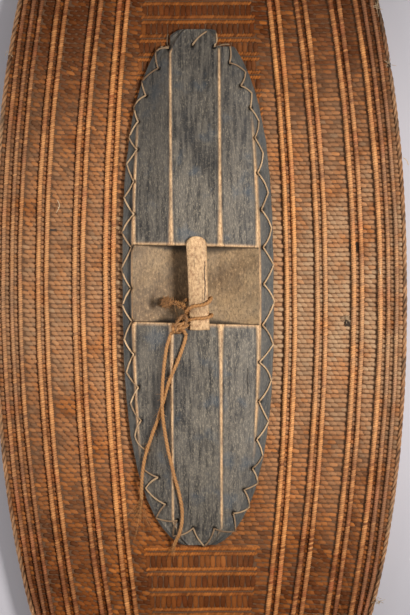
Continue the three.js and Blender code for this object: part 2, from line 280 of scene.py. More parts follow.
class Tree:
    """A node tree filled by short calls. A colour is a socket or its usual 0 to 255 values."""

    def __init__(self, tree: bpy.types.NodeTree) -> None:
        """Keep the tree."""
        self.tree = tree

    def fill(self, node: bpy.types.Node, inputs: dict) -> bpy.types.Node:
        """Set or feed a node's inputs.

        Args:
            node: The node.
            inputs: Values or sockets, by the input's name or number.

        Returns:
            The node.
        """
        for key, value in inputs.items():
            if isinstance(value, bpy.types.NodeSocket):
                self.tree.links.new(value, node.inputs[key])
            else:
                node.inputs[key].default_value = value
        return node

    def add(self, kind: str, inputs: dict | None = None, **settings: object) -> bpy.types.Node:
        """Add a node.

        Args:
            kind: Its type.
            inputs: Values or sockets for its inputs, by name or number.
            settings: Its other properties.

        Returns:
            The node.
        """
        made = self.tree.nodes.new(kind)
        for key, value in settings.items():
            setattr(made, key, value)
        return self.fill(made, inputs or {})

    def sum(self, operation: str, a: object, b: object = 0.0, clamp: bool = False) -> bpy.types.NodeSocket:
        """Return the result of a sum on two values or sockets."""
        return self.add("ShaderNodeMath", {0: a, 1: b}, operation=operation, use_clamp=clamp).outputs[0]

    def times(self, a: object, b: object, clamp: bool = False) -> bpy.types.NodeSocket:
        """Return a product."""
        return self.sum("MULTIPLY", a, b, clamp)

    def plus(self, a: object, b: object, clamp: bool = False) -> bpy.types.NodeSocket:
        """Return a total."""
        return self.sum("ADD", a, b, clamp)

    def mix(self, share: object, a: object, b: object, blend: str = "MIX") -> bpy.types.NodeSocket:
        """Return two colours mixed by a share."""
        a, b = (tint(*colour) if isinstance(colour, tuple) else colour for colour in (a, b))
        inputs = {0: share, 6: a, 7: b}
        return self.add("ShaderNodeMix", inputs, data_type="RGBA", blend_type=blend).outputs[2]

    def layered(self, base: object, *layers: tuple) -> bpy.types.NodeSocket:
        """Return a colour under layers that are each a share and a colour."""
        for share, colour in layers:
            base = self.mix(share, base, colour)
        return base

    def band(self, value: object, low: float, high: float, most: float = 1.0) -> bpy.types.NodeSocket:
        """Return 0 below low and the most above high, with a smooth way between."""
        inputs = {0: value, 1: low, 2: high, 4: most}
        return self.add("ShaderNodeMapRange", inputs, interpolation_type="SMOOTHSTEP").outputs[0]

    def noise(
        self, where: object, scale: object, detail: float = 3.0, rough: float = 0.55
    ) -> bpy.types.NodeSocket:
        """Return a noise value at a place, with one scale or one for each axis."""
        if isinstance(scale, tuple):
            where, scale = self.vectors("MULTIPLY", where, scale), 1.0
        inputs = {"Vector": where, "Scale": scale, "Detail": detail, "Roughness": rough}
        return self.add("ShaderNodeTexNoise", inputs).outputs[0]

    def vectors(self, operation: str, a: object, b: object) -> bpy.types.NodeSocket:
        """Return the result of a sum on two vectors."""
        return self.add("ShaderNodeVectorMath", {0: a, 1: b}, operation=operation).outputs[0]

    def where(self) -> bpy.types.NodeSocket:
        """Return the place that is shaded."""
        return self.add("ShaderNodeNewGeometry").outputs["Position"]

    def stored(self, name: str) -> bpy.types.NodeSocket:
        """Return a value that the mesh holds at each vertex."""
        return self.add("ShaderNodeAttribute", attribute_name=name).outputs["Fac"]

    def bumped(self, height: object, strength: float, distance: float) -> bpy.types.NodeSocket:
        """Return the normal over a height."""
        inputs = {"Height": height, "Strength": strength, "Distance": distance}
        return self.add("ShaderNodeBump", inputs).outputs[0]


def new_group(name: str, takes: dict[str, str], gives: dict[str, str]) -> tuple[Tree, dict, bpy.types.Node]:
    """Start a shader node group.

    Args:
        name: The group's name.
        takes: Its inputs' names and socket kinds.
        gives: Its outputs' names and socket kinds.

    Returns:
        Its tree, its inputs as the sockets that bring them, and its output node.
    """
    made = bpy.data.node_groups.new(name, "ShaderNodeTree")
    for way, sockets in (("INPUT", takes), ("OUTPUT", gives)):
        for key, kind in sockets.items():
            made.interface.new_socket(key, in_out=way, socket_type=kind)
    tree = Tree(made)
    return tree, tree.add("NodeGroupInput").outputs, tree.add("NodeGroupOutput")


def new_material(name: str) -> tuple[bpy.types.Material, Tree, bpy.types.Node]:
    """Return a new material, its tree and its shader."""
    made = bpy.data.materials.new(name)
    made.use_nodes = True
    return made, Tree(made.node_tree), made.node_tree.nodes["Principled BSDF"]


FLOAT, COLOUR, VECTOR = "NodeSocketFloat", "NodeSocketColor", "NodeSocketVector"


def dust_and_shade_group() -> bpy.types.ShaderNodeTree:
    """Build the group that greys a colour with dust and paints shade where the stored relief is low.

    Returns:
        The group.
    """
    takes = {"Colour": COLOUR, "Dust colour": COLOUR, "Dust": FLOAT, "Dirt colour": COLOUR}
    takes |= {"Relief": FLOAT, "Patch size": FLOAT}
    tree, given, out = new_group("Dust and painted shade", takes, {"Colour": COLOUR, "Dusty": FLOAT})
    where = tree.where()
    uneven = tree.times(given["Dust"], tree.band(tree.noise(where, given["Patch size"], 4.0), 0.12, 0.6))
    total = tree.plus(uneven, tree.band(tree.noise(where, 700.0, 2.0), 0.5, 0.75, 0.05), True)
    # Painted shade: low relief, in hollows, at feet, on undersides and between strands, darkens the colour
    hollow = tree.band(given["Relief"], 0.62, 0.0, 0.8)
    darkened = tree.layered(given["Colour"], (total, given["Dust colour"]), (hollow, given["Dirt colour"]))
    tree.fill(out, {"Colour": darkened, "Dusty": total})
    return tree.tree


def streak_group() -> bpy.types.ShaderNodeTree:
    """Build the group that draws fine fibres along one direction.

    Returns:
        The group.
    """
    takes, gives = {"Stretch": VECTOR, "Tone": FLOAT}, {"Streak": FLOAT, "Height": FLOAT}
    tree, given, out = new_group("Fibre streaks", takes, gives)
    drawn = tree.vectors("MULTIPLY", tree.where(), given["Stretch"])
    moved = tree.add("ShaderNodeCombineXYZ", {0: tree.times(given["Tone"], 9.0)}).outputs[0]
    fine = tree.noise(tree.vectors("ADD", drawn, moved), 1.0, 4.0, 0.65)
    tree.fill(out, {"Streak": tree.band(fine, 0.32, 0.68), "Height": fine})
    return tree.tree


def split_group() -> bpy.types.ShaderNodeTree:
    """Build the group that draws a split along the grain between two places.

    Returns:
        The group.
    """
    tree, given, out = new_group("Split", {"Across": FLOAT, "From": FLOAT, "To": FLOAT}, {"Open": FLOAT})
    where = tree.where()
    across, along, _ = tree.add("ShaderNodeSeparateXYZ", {0: where}).outputs
    sway = tree.times(tree.sum("SUBTRACT", tree.noise(where, 90.0, 2.0), 0.5), 0.0035)
    apart = tree.sum("ABSOLUTE", tree.plus(tree.sum("SUBTRACT", across, given["Across"]), sway))
    start = tree.sum("GREATER_THAN", along, given["From"])
    stop = tree.sum("LESS_THAN", along, given["To"])
    slit = tree.band(apart, 0.0007, 0.0002)
    tree.fill(out, {"Open": tree.times(slit, tree.times(start, stop))})
    return tree.tree


@dataclass(frozen=True)
class RaffiaFinish:
    """Raffia or bast: its shades, its dust, its painted shade where relief is low, which way its fibres run
    and how they catch light.
    """

    name: str
    dark: Rgb
    light: Rgb
    red: Rgb
    dust: Rgb = (184, 152, 118)
    # The colour that painted shade darkens towards in hollows and on undersides
    dirt: Rgb = (48, 28, 16)
    stretch: tuple[float, float, float] = (90.0, 1500.0, 1500.0)
    rough: float = 0.62
    bump: float = 0.35
    gloss: float = 0.3
    blotch: float = 0.4
    patch: float = 24.0

    def material(self, dust_and_shade: bpy.types.NodeTree, streaks: bpy.types.NodeTree) -> bpy.types.Material:
        """Make the material.

        Args:
            dust_and_shade: The group of dust and painted shade.
            streaks: The fibre streaks group.

        Returns:
            The material.
        """
        made, tree, shader = new_material(self.name)
        tone = tree.stored("tone")
        inputs = {"Stretch": self.stretch, "Tone": tone}
        fibre = tree.add("ShaderNodeGroup", inputs, node_tree=streaks).outputs
        blotch = tree.band(tree.noise(tree.where(), 38.0, 4.0), 0.5, 0.7, self.blotch)
        base = tree.mix(blotch, tree.mix(tone, self.dark, self.light), self.red)
        share = tree.times(fibre["Streak"], tree.plus(tree.times(tone, 0.68), 0.16))
        streaked = tree.mix(share, base, tree.mix(0.5, base, self.light, "SCREEN"))
        inputs = {"Colour": streaked, "Dust": tree.stored("dust"), "Relief": tree.stored("relief")}
        inputs |= {"Dust colour": tint(*self.dust), "Dirt colour": tint(*self.dirt), "Patch size": self.patch}
        # The colour greyed by dust and darkened by painted shade
        worn = tree.add("ShaderNodeGroup", inputs, node_tree=dust_and_shade).outputs
        dull = tree.plus(tree.times(worn["Dusty"], 0.25), self.rough, True)
        normal = tree.bumped(fibre["Height"], self.bump, 0.0006)
        tree.fill(shader, {"Base Color": worn["Colour"], "Roughness": dull, "Normal": normal})
        shader.inputs["Specular IOR Level"].default_value = self.gloss
        return made


@dataclass(frozen=True)
class WoodFinish:
    """Old carved wood: a dark patina streaked along the grain, pale where it is worn, brown in the hollow,
    darkened by painted shade.
    """

    name: str = "patinated_wood"
    dark: Rgb = (42, 39, 37)
    slate: Rgb = (106, 98, 87)
    streak: Rgb = (184, 168, 142)
    edge: Rgb = (62, 62, 60)
    blue: Rgb = (76, 88, 98)
    pale: Rgb = (178, 132, 92)
    cream: Rgb = (236, 194, 144)
    brown: Rgb = (118, 92, 62)
    sand: Rgb = (158, 130, 94)
    soot: Rgb = (74, 56, 38)
    # The colour of the painted shade, which also draws the splits
    shade: Rgb = (24, 18, 14)
    cracks: tuple = ((187.5, 478.0, 510.0), (247.0, 368.0, 394.0), (204.8, 262.0, 300.0))

    def opened(self, tree: Tree, splits: bpy.types.NodeTree) -> bpy.types.NodeSocket:
        """Draw every split.

        Args:
            tree: The material's tree.
            splits: The group that draws one.

        Returns:
            1 within a split and 0 beside it.
        """
        found = 0.0
        for px, first, last in self.cracks:
            (x, top), (_, bottom) = place(px, first), place(px, last)
            inputs = {"Across": x * MM, "From": bottom * MM, "To": top * MM}
            split = tree.add("ShaderNodeGroup", inputs, node_tree=splits)
            found = tree.sum("MAXIMUM", found, split.outputs["Open"])
        return found

    def material(self, splits: bpy.types.NodeTree) -> bpy.types.Material:
        """Make the material.

        Args:
            splits: The group that draws a split in the wood.

        Returns:
            The material.
        """
        made, tree, shader = new_material(self.name)
        where = tree.where()
        grain = tree.noise(where, (250.0, 24.0, 90.0), 5.0, 0.6)
        fine = tree.noise(where, (800.0, 210.0, 500.0), 4.0, 0.7)
        rough_grain = tree.noise(where, (420.0, 230.0, 300.0), 6.0, 0.75)
        speck, patch = tree.noise(where, 520.0, 3.0, 0.6), tree.noise(where, 15.0, 4.0, 0.6)
        mottle = tree.plus(tree.times(grain, 0.68), tree.times(patch, 0.32))
        across, along, _ = tree.add("ShaderNodeSeparateXYZ", {0: where}).outputs
        # Painted light: far darkens the board towards its ends as the light falls off; left is painted shade
        # on the left of the upper half
        far = tree.band(tree.sum("ABSOLUTE", along), 0.11, 0.26, 0.2)
        left = tree.times(tree.band(across, -0.026, -0.05, 0.4), tree.band(along, 0.03, 0.2))
        base = tree.layered(
            tree.mix(tree.band(mottle, 0.37, 0.6), self.dark, self.slate),
            (tree.times(tree.band(fine, 0.5, 0.66, 0.48), tree.band(patch, 0.3, 0.6)), self.streak),
            (tree.band(fine, 0.46, 0.32, 0.35), self.dark),
            (tree.band(tree.noise(where, 27.0, 3.0), 0.55, 0.7, 0.4), self.blue),
            (tree.band(speck, 0.55, 0.75, 0.4), self.streak),
            (tree.plus(far, left, True), self.dark),
        )
        stain = tree.layered(
            tree.mix(tree.band(patch, 0.35, 0.65), self.brown, self.sand),
            (tree.band(rough_grain, 0.5, 0.72, 0.5), self.cream),
            (tree.band(rough_grain, 0.49, 0.34, 0.8), self.soot),
        )
        worn = tree.mix(tree.band(rough_grain, 0.36, 0.6), self.pale, self.cream)
        opened = self.opened(tree, splits)
        base = tree.mix(tree.stored("tone"), tree.mix(0.62, base, self.edge), base)
        base = tree.layered(
            base,
            (tree.stored("dust"), stain),
            (tree.times(tree.stored("wear"), tree.band(grain, 0.22, 0.46), True), worn),
            # Painted shade: along the hollow's walls, in the grooves beside the ridges and in the lacing
            # holes
            (tree.band(tree.stored("relief"), 0.9, 0.05, 0.92), self.shade),
            (opened, self.shade),
        )
        rough = tree.add("ShaderNodeMapRange", {0: grain, 3: 0.5, 4: 0.72}).outputs[0]
        height = tree.plus(tree.times(grain, 0.7), tree.times(fine, 0.3))
        normal = tree.bumped(tree.sum("SUBTRACT", height, opened), 0.5, 0.001)
        tree.fill(shader, {"Base Color": base, "Roughness": rough, "Normal": normal})
        shader.inputs["Specular IOR Level"].default_value = 0.35
        return made


@dataclass
class ShieldForm:
    """Outline, dish and rods of the woven sheet, as they are in the solid model."""

    half_wide: float = 245.0
    half_long: float = 636.0
    power: float = 2.17
    thick: float = 8.0
    flat_share: float = 0.46
    side_rise: float = 28.0
    end_rise: float = 16.0
    rim_wide: float = 5.2
    rim_room: float = 0.8
    rod_wide: float = 5.8
    rod_high: float = 4.4
    rod_spacing: float = 9.5
    rod_push: float = 3.3
    groups: tuple = ((108.3, 2, 1.54e-6), (145.0, 2, 1.42e-6), (188.0, 2, 1.22e-6), (223.5, 3, 1.1e-6))

    def outline(self, angle: np.ndarray, inset: float) -> tuple[np.ndarray, np.ndarray]:
        """Return a point of the outline at an angle, pulled in by an inset."""
        x = (self.half_wide - inset) * spow(np.cos(angle), 2 / self.power)
        return x, (self.half_long - inset) * spow(np.sin(angle), 2 / self.power)

    def half_at(self, y: Values, inset: float) -> Values:
        """Return half the width at a place along the shield, pulled in by an inset."""
        share = np.minimum(1.0, np.abs(y) / (self.half_long - inset))
        return (self.half_wide - inset) * (1 - share**self.power) ** (1 / self.power)

    def dish(self, x: Values, y: Values) -> Values:
        """Return the height of the outer face.

        Args:
            x: Places across.
            y: Places along.

        Returns:
            One height for each place.
        """
        across = (np.abs(x) / self.half_wide) ** self.power
        total = np.maximum(across + (np.abs(y) / self.half_long) ** self.power, 1e-9)
        share = total ** (1 / self.power)
        rise = self.end_rise + (self.side_rise - self.end_rise) * across / total
        return rise * (np.maximum(0, share - self.flat_share) / (1 - self.flat_share)) ** 2

    def rod_limit(self, y: Values) -> Values:
        """Return the furthest out that a rod lies beside the rim."""
        return self.half_at(y, self.rim_wide + self.rim_room + self.rod_wide / 2)

    def free_rod(self, group: tuple, number: int, y: Values) -> Values:
        """Return where a rod would lie if the rim didn't push it in."""
        middle, rods, closing = group
        return middle * (1 - closing * np.square(y)) + (number - (rods - 1) / 2) * self.rod_spacing

    def rod_x(self, group: tuple, number: int, y: Values) -> Values:
        """Return where a rod lies."""
        return np.minimum(self.free_rod(group, number, y), self.rod_limit(y))

    def rods(self) -> list[tuple[tuple, int, float]]:
        """List the rods of one side.

        Returns:
            Each rod's group, its number there, and how far along the shield it runs, counted outwards.
        """
        y = np.linspace(0, self.half_long - 1, 6000)
        found = []
        for group in self.groups:
            for number in range(group[1]):
                inside = self.free_rod(group, number, y) - self.rod_limit(y) < self.rod_push
                found.append((group, number, float(y[inside].max())))
        return found


class Stitcher:
    """Lays strands that each show as one rounded grain."""

    STATIONS = (-0.7, 0.0, 0.7)
    FULLNESS = (0.88, 1.0, 0.88)
    LIFT = (0.66, 1.0, 0.66)

    def __init__(self, form: ShieldForm, skin: Skin, rounds: int, outer: bool = False) -> None:
        """Keep the form, the mesh to fill, how round a grain is, and whether it lies on the outer face."""
        self.form, self.skin, self.rounds, self.outer = form, skin, rounds, outer

    def pattern(self) -> np.ndarray:
        """List the triangles of one grain, which has three arches and a point at each end.

        Returns:
            Three point numbers for each triangle.
        """
        n = self.rounds
        ring = np.arange(n - 1)
        first, last = 1 + ring, 1 + 2 * n + ring
        start = np.stack([ring * 0, first, first + 1], axis=1)
        stop = np.stack([ring * 0 + 1 + 3 * n, last + 1, last], axis=1)
        faces = np.concatenate([cells(3, n)[:, ::-1] + 1, start, stop])
        return faces if self.outer else faces[:, ::-1]

    def lay(
        self, x: np.ndarray, y: np.ndarray, turn: Values, half_long: Values, half_wide: Values, high: Values,
        foot: Values, **values: np.ndarray,
    ) -> None:
        """Add one grain at each place.

        Args:
            x: Places across.
            y: Places along.
            turn: How far each leans from straight across, in radians.
            half_long: Half its length.
            half_wide: Half its width.
            high: How far its middle stands above its foot.
            foot: Height of its foot above the sheet's outer face, or depth under it on that face.
            values: tone and dust, one for each grain.
        """
        angle = np.linspace(0, math.pi, self.rounds)
        s = np.concatenate([[-1.0], np.repeat(self.STATIONS, self.rounds), [1.0]])
        across = np.concatenate([[0.0], np.outer(self.FULLNESS, np.cos(angle)).ravel(), [0.0]])
        up = np.concatenate([[0.0], np.outer(self.LIFT, np.sin(angle)).ravel(), [0.0]])
        given = (x, y, turn, half_long, half_wide, high, foot)
        x, y, turn, half_long, half_wide, high, foot = (np.broadcast_to(v, len(x))[:, None] for v in given)
        run, side = s * half_long, across * half_wide
        px = x + run * np.cos(turn) - side * np.sin(turn)
        py = y + run * np.sin(turn) + side * np.cos(turn)
        pz = self.form.dish(px, py) + foot + up * high * (-1 if self.outer else 1)
        # Relief falls to 0 at each grain's foot and tips, so painted shade darkens the gaps between stitches
        self.skin.alike(np.stack([px, py, pz], axis=-1), self.pattern(), np.clip(up, 0, 1), **values)


@dataclass
class GripBoardForm:
    """Shape of the carved board in the shield's frame, as it is in the solid model."""

    x: float = -2.4
    base: float = 8.3
    half_wide: float = 89.3
    half_long: float = 307.5
    tip: float = 311.0
    edge_long: float = 2.8
    edge_wide: float = 0.45
    edge_high: float = 6.0
    foot_high: float = 7.5
    foot_wide: float = 1.6
    ridge_axis: float = -2.5
    outer_x: float = 75.0
    outer_high: float = 15.0
    outer_end: float = 216.0
    outer_closing: float = 0.11
    inner_x: float = 29.0
    inner_share: float = 0.62
    crown_middle: float = 36.0
    crown_end: float = 8.0
    side_hollow: float = 1.8
    centre_hollow: float = 1.3
    shoulder_y: float = 286.5
    tongue: tuple[float, float] = (-31.0, 22.5)

    def half_at(self, y: Values) -> Values:
        """Return half the board's width at a place along it."""
        share = np.minimum(np.abs(y) / self.tip, 0.9999)
        return self.half_wide * (1 - share**self.edge_long) ** self.edge_wide

    def features(self, y: float) -> tuple[np.ndarray, np.ndarray]:
        """Return the section at a place along the board.

        Args:
            y: The place.

        Returns:
            The places across of its edges and ridges from left to right, and their heights.
        """
        half = float(self.half_at(y))
        far = min(1.0, abs(y) / self.outer_end)
        crown = self.crown_end + (self.crown_middle - self.crown_end) * (1 - (y / self.tip) ** 2)
        outer_high = self.outer_high + (self.foot_high - self.outer_high) * far**2
        hollow = (crown + outer_high) / 2 - self.side_hollow * (1 - far**2 / 2)
        found = [(self.ridge_axis, crown - self.centre_hollow)]
        for side in (-1, 1):
            room = half - side * self.ridge_axis
            outer = min(self.outer_x * (1 - self.outer_closing * far**2), room - 3 * self.foot_wide)
            inner = min(self.inner_x, room * self.inner_share)
            found.append((side * half, self.edge_high))
            steps = ((outer + self.foot_wide, self.foot_high), (outer, outer_high))
            steps += (((outer + inner) / 2, hollow), (inner, crown))
            found += [(self.ridge_axis + side * away, high) for away, high in steps]
        places, heights = zip(*sorted(found), strict=True)
        return np.array(places), np.array(heights)

    def top(self, x: float, y: float) -> float:
        """Return the height of the board's face at a place of the shield."""
        return self.base + float(np.interp(x - self.x, *self.features(y)))


@dataclass
class Ground:
    """What a strand lies on: the board's face, or the weave beside it."""

    sheet: ShieldForm
    board: GripBoardForm

    def on_board(self, x: float, y: float) -> bool:
        """Return whether the board lies under a place."""
        left, right = self.board.tongue
        if y > self.board.shoulder_y:
            return y < self.board.half_long and left < x - self.board.x < right
        return y > -self.board.half_long and abs(x - self.board.x) < self.board.half_at(y)

    def level(self, x: float, y: float) -> float:
        """Return the height of what lies at a place."""
        if self.on_board(x, y):
            return self.board.top(x, y)
        return float(self.sheet.dish(x, y)) + self.sheet.thick


def flow(points: np.ndarray | tuple, step: float) -> np.ndarray:
    """Return an evenly stepped smooth line through points.

    Args:
        points: The points, in order.
        step: How far apart the new points lie.

    Returns:
        The new points.
    """
    points = np.asarray(points, float)
    knots = run_along(points)
    slope = np.gradient(points, knots, axis=0)
    at = np.linspace(0, knots[-1], max(3, int(knots[-1] / step) + 1))
    part = np.clip(np.searchsorted(knots, at, "right") - 1, 0, len(points) - 2)
    gap = (knots[part + 1] - knots[part])[:, None]
    t = (at[:, None] - knots[part][:, None]) / gap
    start, stop = points[part], points[part + 1]
    bend = (t**3 - 2 * t**2 + t) * gap * slope[part] + (t**3 - t**2) * gap * slope[part + 1]
    return (2 * t**3 - 3 * t**2 + 1) * start + (3 * t**2 - 2 * t**3) * stop + bend


def sweep(
    skin: Skin, path: np.ndarray, wide: Values, high: Values, sides: int = 8, plies: int = 0,
    lay: float = 9.0, **values: Values,
) -> None:
    """Draw a strand along a line, with painted shade on its sides and underside and in its ply grooves.

    Args:
        skin: The mesh to fill.
        path: The line's points.
        wide: The strand's width, one value or one for each point.
        high: Its height.
        sides: How many sides its section has.
        plies: How many plies it is twisted from, or 0 for a smooth one.
        lay: How far along it a ply takes to come round.
        values: tone, dust and wear for the whole strand.
    """
    count = len(path)
    tangent = unit(np.gradient(path, axis=0))
    across = np.zeros_like(path)
    start = np.cross(tangent[0], (0.0, 0.0, 1.0))
    across[0] = start if np.linalg.norm(start) > 0.2 else np.cross(tangent[0], (0.0, 1.0, 0.0))
    for i in range(count):
        side = across[max(i - 1, 0)]
        across[i] = unit(side - tangent[i] * side.dot(tangent[i]))
    up = np.cross(across, tangent)
    turn = np.linspace(0, 2 * math.pi, sides, endpoint=False)[None]
    # lit is painted light and shade: high on top, low on the sides and underneath; it becomes the relief
    size, lit = np.ones((count, sides)), 0.2 + 1.1 * np.sin(turn) * np.ones((count, 1))
    if plies:
        groove = 0.34
        ridge = np.abs(np.cos(plies / 2 * turn - math.pi * plies * run_along(path)[:, None] / lay)) ** 0.8
        # With plies, the grooves between them get painted shade
        size, lit = 1 - groove + groove * ridge, ridge
    taper = np.ones(count)
    taper[0] = taper[-1] = 0.25
    wide, high = (np.broadcast_to(width, count)[:, None] / 2 * taper[:, None] for width in (wide, high))
    out = (np.cos(turn) * size * wide)[..., None] * across[:, None]
    rise = (np.sin(turn) * size * high)[..., None] * up[:, None]
    relief = np.clip(lit, 0, 1)[:, ::-1].ravel()
    skin.grid((path[:, None] + out + rise)[:, ::-1], around=True, relief=relief, **values)


@dataclass
class Damage:
    """Small holes, torn ends and loose fibres of the old weave, at their places in the picture."""

    ground: Ground
    holes: tuple = ((350, 243, 358, 252), (345, 321, 350, 327.5), (50, 228.2, 57, 229.8), (388, 65, 391, 70))
    tufts: tuple = (
        (347, 320, 26, 6.0), (377, 10, 22, 7.0), (389, 66, 16, 6.0), (12, 54, 10, 4.0), (375, 600, 18, 7.0),
    )
    fibres: tuple = (
        ((379, 269), (380, 276)), ((402, 160), (405.5, 163), (407.5, 168)), ((57, 212), (60, 204), (58, 199)),
    )
    fibre_lift: float = 5.4

    def boxes(self) -> list[tuple[tuple[float, float], tuple[float, float]]]:
        """Return the lower left and the upper right corner of each hole on the shield."""
        return [(place(left, bottom), place(right, top)) for left, top, right, bottom in self.holes]

    def torn(self, x: np.ndarray, y: np.ndarray) -> np.ndarray:
        """Return which places lie in a hole."""
        inside = [(x > x0) & (x < x1) & (y > y0) & (y < y1) for (x0, y0), (x1, y1) in self.boxes()]
        return np.logical_or.reduce(inside)

    def build(self, material: bpy.types.Material) -> bpy.types.Object:
        """Line the holes with painted shade and let the loose fibres stand.

        Args:
            material: Their finish.

        Returns:
            The piece.
        """
        random = dice(70)
        skin = Skin()
        for (x0, y0), (x1, y1) in self.boxes():
            x, y = np.meshgrid(np.linspace(x0, x1, 7), np.linspace(y0, y1, 7))
            x = x + 0.5 * wander(x, y, 4, 1.0)
            z = self.ground.sheet.dish(x, y) + self.ground.sheet.thick + 0.3 * wander(x, y, 5, 2.0)
            # Painted shade: relief 0 darkens each hole's lining to near black
            skin.grid(np.stack([x, y + 0.5 * wander(x, y, 4, 3.0), z], axis=-1), tone=0.0, relief=0.0)
        for px, py, count, long in self.tufts:
            x, y = place(px, py)
            root = np.array((x, y, self.ground.level(x, y) + 0.4))
            for _ in range(count):
                way = random.normal(0, 1, 3) * (1, 1, 0.35)
                way[2] = abs(way[2])
                t = np.linspace(0, 1, 5)[:, None]
                path = root + random.normal(0, 1.6, 3) * (1, 1, 0.1) + way * long * 0.55 * t
                path[:, 2] += 1.2 * np.sin(math.pi * t[:, 0])
                sweep(skin, path, 0.55, 0.4, 4, tone=float(random.uniform(0.5, 1.0)), dust=0.6)
        for line in self.fibres:
            spots = [place(*p) for p in line]
            path = flow([(x, y, self.ground.level(x, y) + self.fibre_lift) for x, y in spots], 1.2)
            sweep(skin, path, 1.0, 0.6, 5, tone=1.0, dust=0.5)
        return skin.piece("torn_fibres", material, Slot.WEAVE)


@dataclass
class WovenSheet:
    """The twined sheet: its dark core, the stitches between the rods, and the bands of the centre panel."""

    form: ShieldForm
    board: GripBoardForm
    damage: Damage
    row: float = 5.45
    stitch: float = 7.4
    stitch_wide: float = 5.32
    stitch_high: float = 2.55
    stitch_overlap: float = 2.3
    furrow: float = 1.7
    margin: float = 15.5
    core: tuple[float, float] = (1.5, 6.3)
    band_from: tuple[float, float] = (316.0, 319.8)
    band_first: tuple[float, float] = (311.0, 180.0)
    band_last: float = 604.0
    band_pitch: tuple[float, float] = (24.0, 22.1)
    cords: tuple = ((-3.1, 3.3, 0.9), (3.1, 2.7, 0.74))
    cords_wide: float = 12.4
    bead: float = 3.2
    bead_turn: float = 0.72
    bead_half: tuple[float, float] = (3.3, 1.75)
    bead_foot: float = 6.1
    column: float = 6.5
    column_half: float = 3.4
    column_high: float = 2.1
    column_foot: float = 6.0
    column_overlap: float = 2.5
    outer_stitch: float = 8.2
    outer_half: float = 2.6
    outer_foot: float = 2.2
    outer_overlap: float = 1.9
    lean: Uneven = Uneven(0.26, 0.1, 70, 1.0, 0.08)
    sway: Uneven = Uneven(0.0, 0.45, 42, 2.0, 0.12)
    foot: Uneven = Uneven(5.65, 0.25, 30, 3.0, 0.24)
    shade: Uneven = Uneven(0.58, 0.18, 55, 4.0, 0.19)
    column_shade: Uneven = Uneven(0.4, 0.2, 50, 7.0, 0.16)
    outer_lean: Uneven = Uneven(0.2, 0.1, 80, 8.0, 0.04)
    outer_shade: Uneven = Uneven(0.42, 0.2, 60, 9.0, 0.15)
    outer_high: Uneven = Uneven(2.0, 0.15, 30, 4.0)
    outer_dust: Uneven = Uneven(0.25, 0.2, 120, 3.0)
    rods: list = field(default_factory=list)

    def __post_init__(self) -> None:
        """Find the rods."""
        self.rods = self.form.rods()

    def reach(self, y: float) -> float:
        """Return how far the centre panel reaches across at a place along the shield."""
        return float(self.form.rod_x(self.form.groups[0], 0, y)) - self.form.rod_wide / 2 - self.furrow

    def panels(self, y: float) -> list[tuple[float, float]]:
        """Return the stretches of one row that stitches fill on one side.

        Args:
            y: The row's place along the shield.

        Returns:
            Where each starts and stops, from the axis outwards.
        """
        form = self.form
        half, tuck, least, under_board = form.rod_wide / 2, 0.3, 0.8, 8
        limit = float(form.half_at(y, form.rim_wide + form.rim_room))
        inner = self.reach(y) - self.margin
        if abs(y) < self.band_first[int(y > 0)]:
            inner = max(0.0, float(self.board.half_at(y)) - under_board)
        elif abs(y) > self.band_last:
            inner = 0.0
        found = []
        for group, number, end in self.rods:
            if abs(y) <= end:
                x = float(form.rod_x(group, number, y))
                found.append((inner, x - half - (self.furrow if number == 0 else -tuck)))
                inner = x + half - tuck
        found.append((inner, limit))
        return [(max(0.0, a), min(b, limit)) for a, b in found if b > a + least and a < limit]

    def courses(self, spans: Spans, size: float, shifts: tuple[float, float]) -> tuple[np.ndarray, ...]:
        """Part every row of the sheet into stitches.

        Args:
            spans: Gives the stretches of a row at its place along the shield.
            size: About how long a stitch is.
            shifts: How far stitches are moved, in stitches, in odd and in even rows.

        Returns:
            Each stitch's place across and along, its length, and its share of the way along its stretch.
        """
        rows = int(self.form.half_long / self.row)
        parts = []
        for number in range(-rows, rows + 1):
            for start, stop in spans(number * self.row):
                count = max(1, round((stop - start) / size))
                step = (stop - start) / count
                shift = shifts[1 - number % 2] if count > 1 else 0.0
                share = (np.arange(count) + 0.5 + shift) / count
                spots = start + (stop - start) * share
                along = np.full(count, number * self.row)
                parts.append(np.vstack([spots, along, np.full(count, step), share]))
        return tuple(np.concatenate(parts, axis=1))

    def grip_side(self, side: Side, material: bpy.types.Material) -> bpy.types.Object:
        """Lay the stitches of one side of the grip face.

        Args:
            side: Left or right.
            material: Their finish.

        Returns:
            The piece.
        """
        random = dice(side.value)
        skin = Skin()
        x, y, step, share = self.courses(self.panels, self.stitch, (0.225, -0.225))
        x = side.value * x
        kept = ~self.damage.torn(x, y)
        x, y, step, share = x[kept], y[kept], step[kept], share[kept]
        lean = self.lean.at(x, y, random) * np.where(x < 0, 1.0, 0.55) * np.clip(step / 6, 0.2, 1)
        y = y + self.sway.at(x, y, random)
        edge = np.abs(2 * share - 1) ** 4
        foot = self.foot.at(x, y, random) - 0.7 * edge
        tone = self.shade.at(x, y, random) - self.painted_falloff(x, y)
        # Painted light: lighter in the strip left of the board, where its real shadow falls; darker in a
        # strip at x 126 about the middle
        tone = tone + 0.32 * bell(x, -98, 9) - 0.3 * bell(x, 126, 12) * bell(y, 0, 120)
        wide = self.stitch_wide / 2 + random.normal(0, 0.14, len(x))
        dust = self.dust_at(x, y, edge) * (1 + random.normal(0, 0.12, len(x)))
        tone, dust = np.clip(tone, 0, 1), np.clip(dust, 0, 1)
        half_long = step / 2 + self.stitch_overlap
        stitcher = Stitcher(self.form, skin, 5)
        stitcher.lay(x, y, -lean, half_long, wide, self.stitch_high, foot, tone=tone, dust=dust)
        return skin.piece(f"weave_{side.name.lower()}", material, Slot.WEAVE)

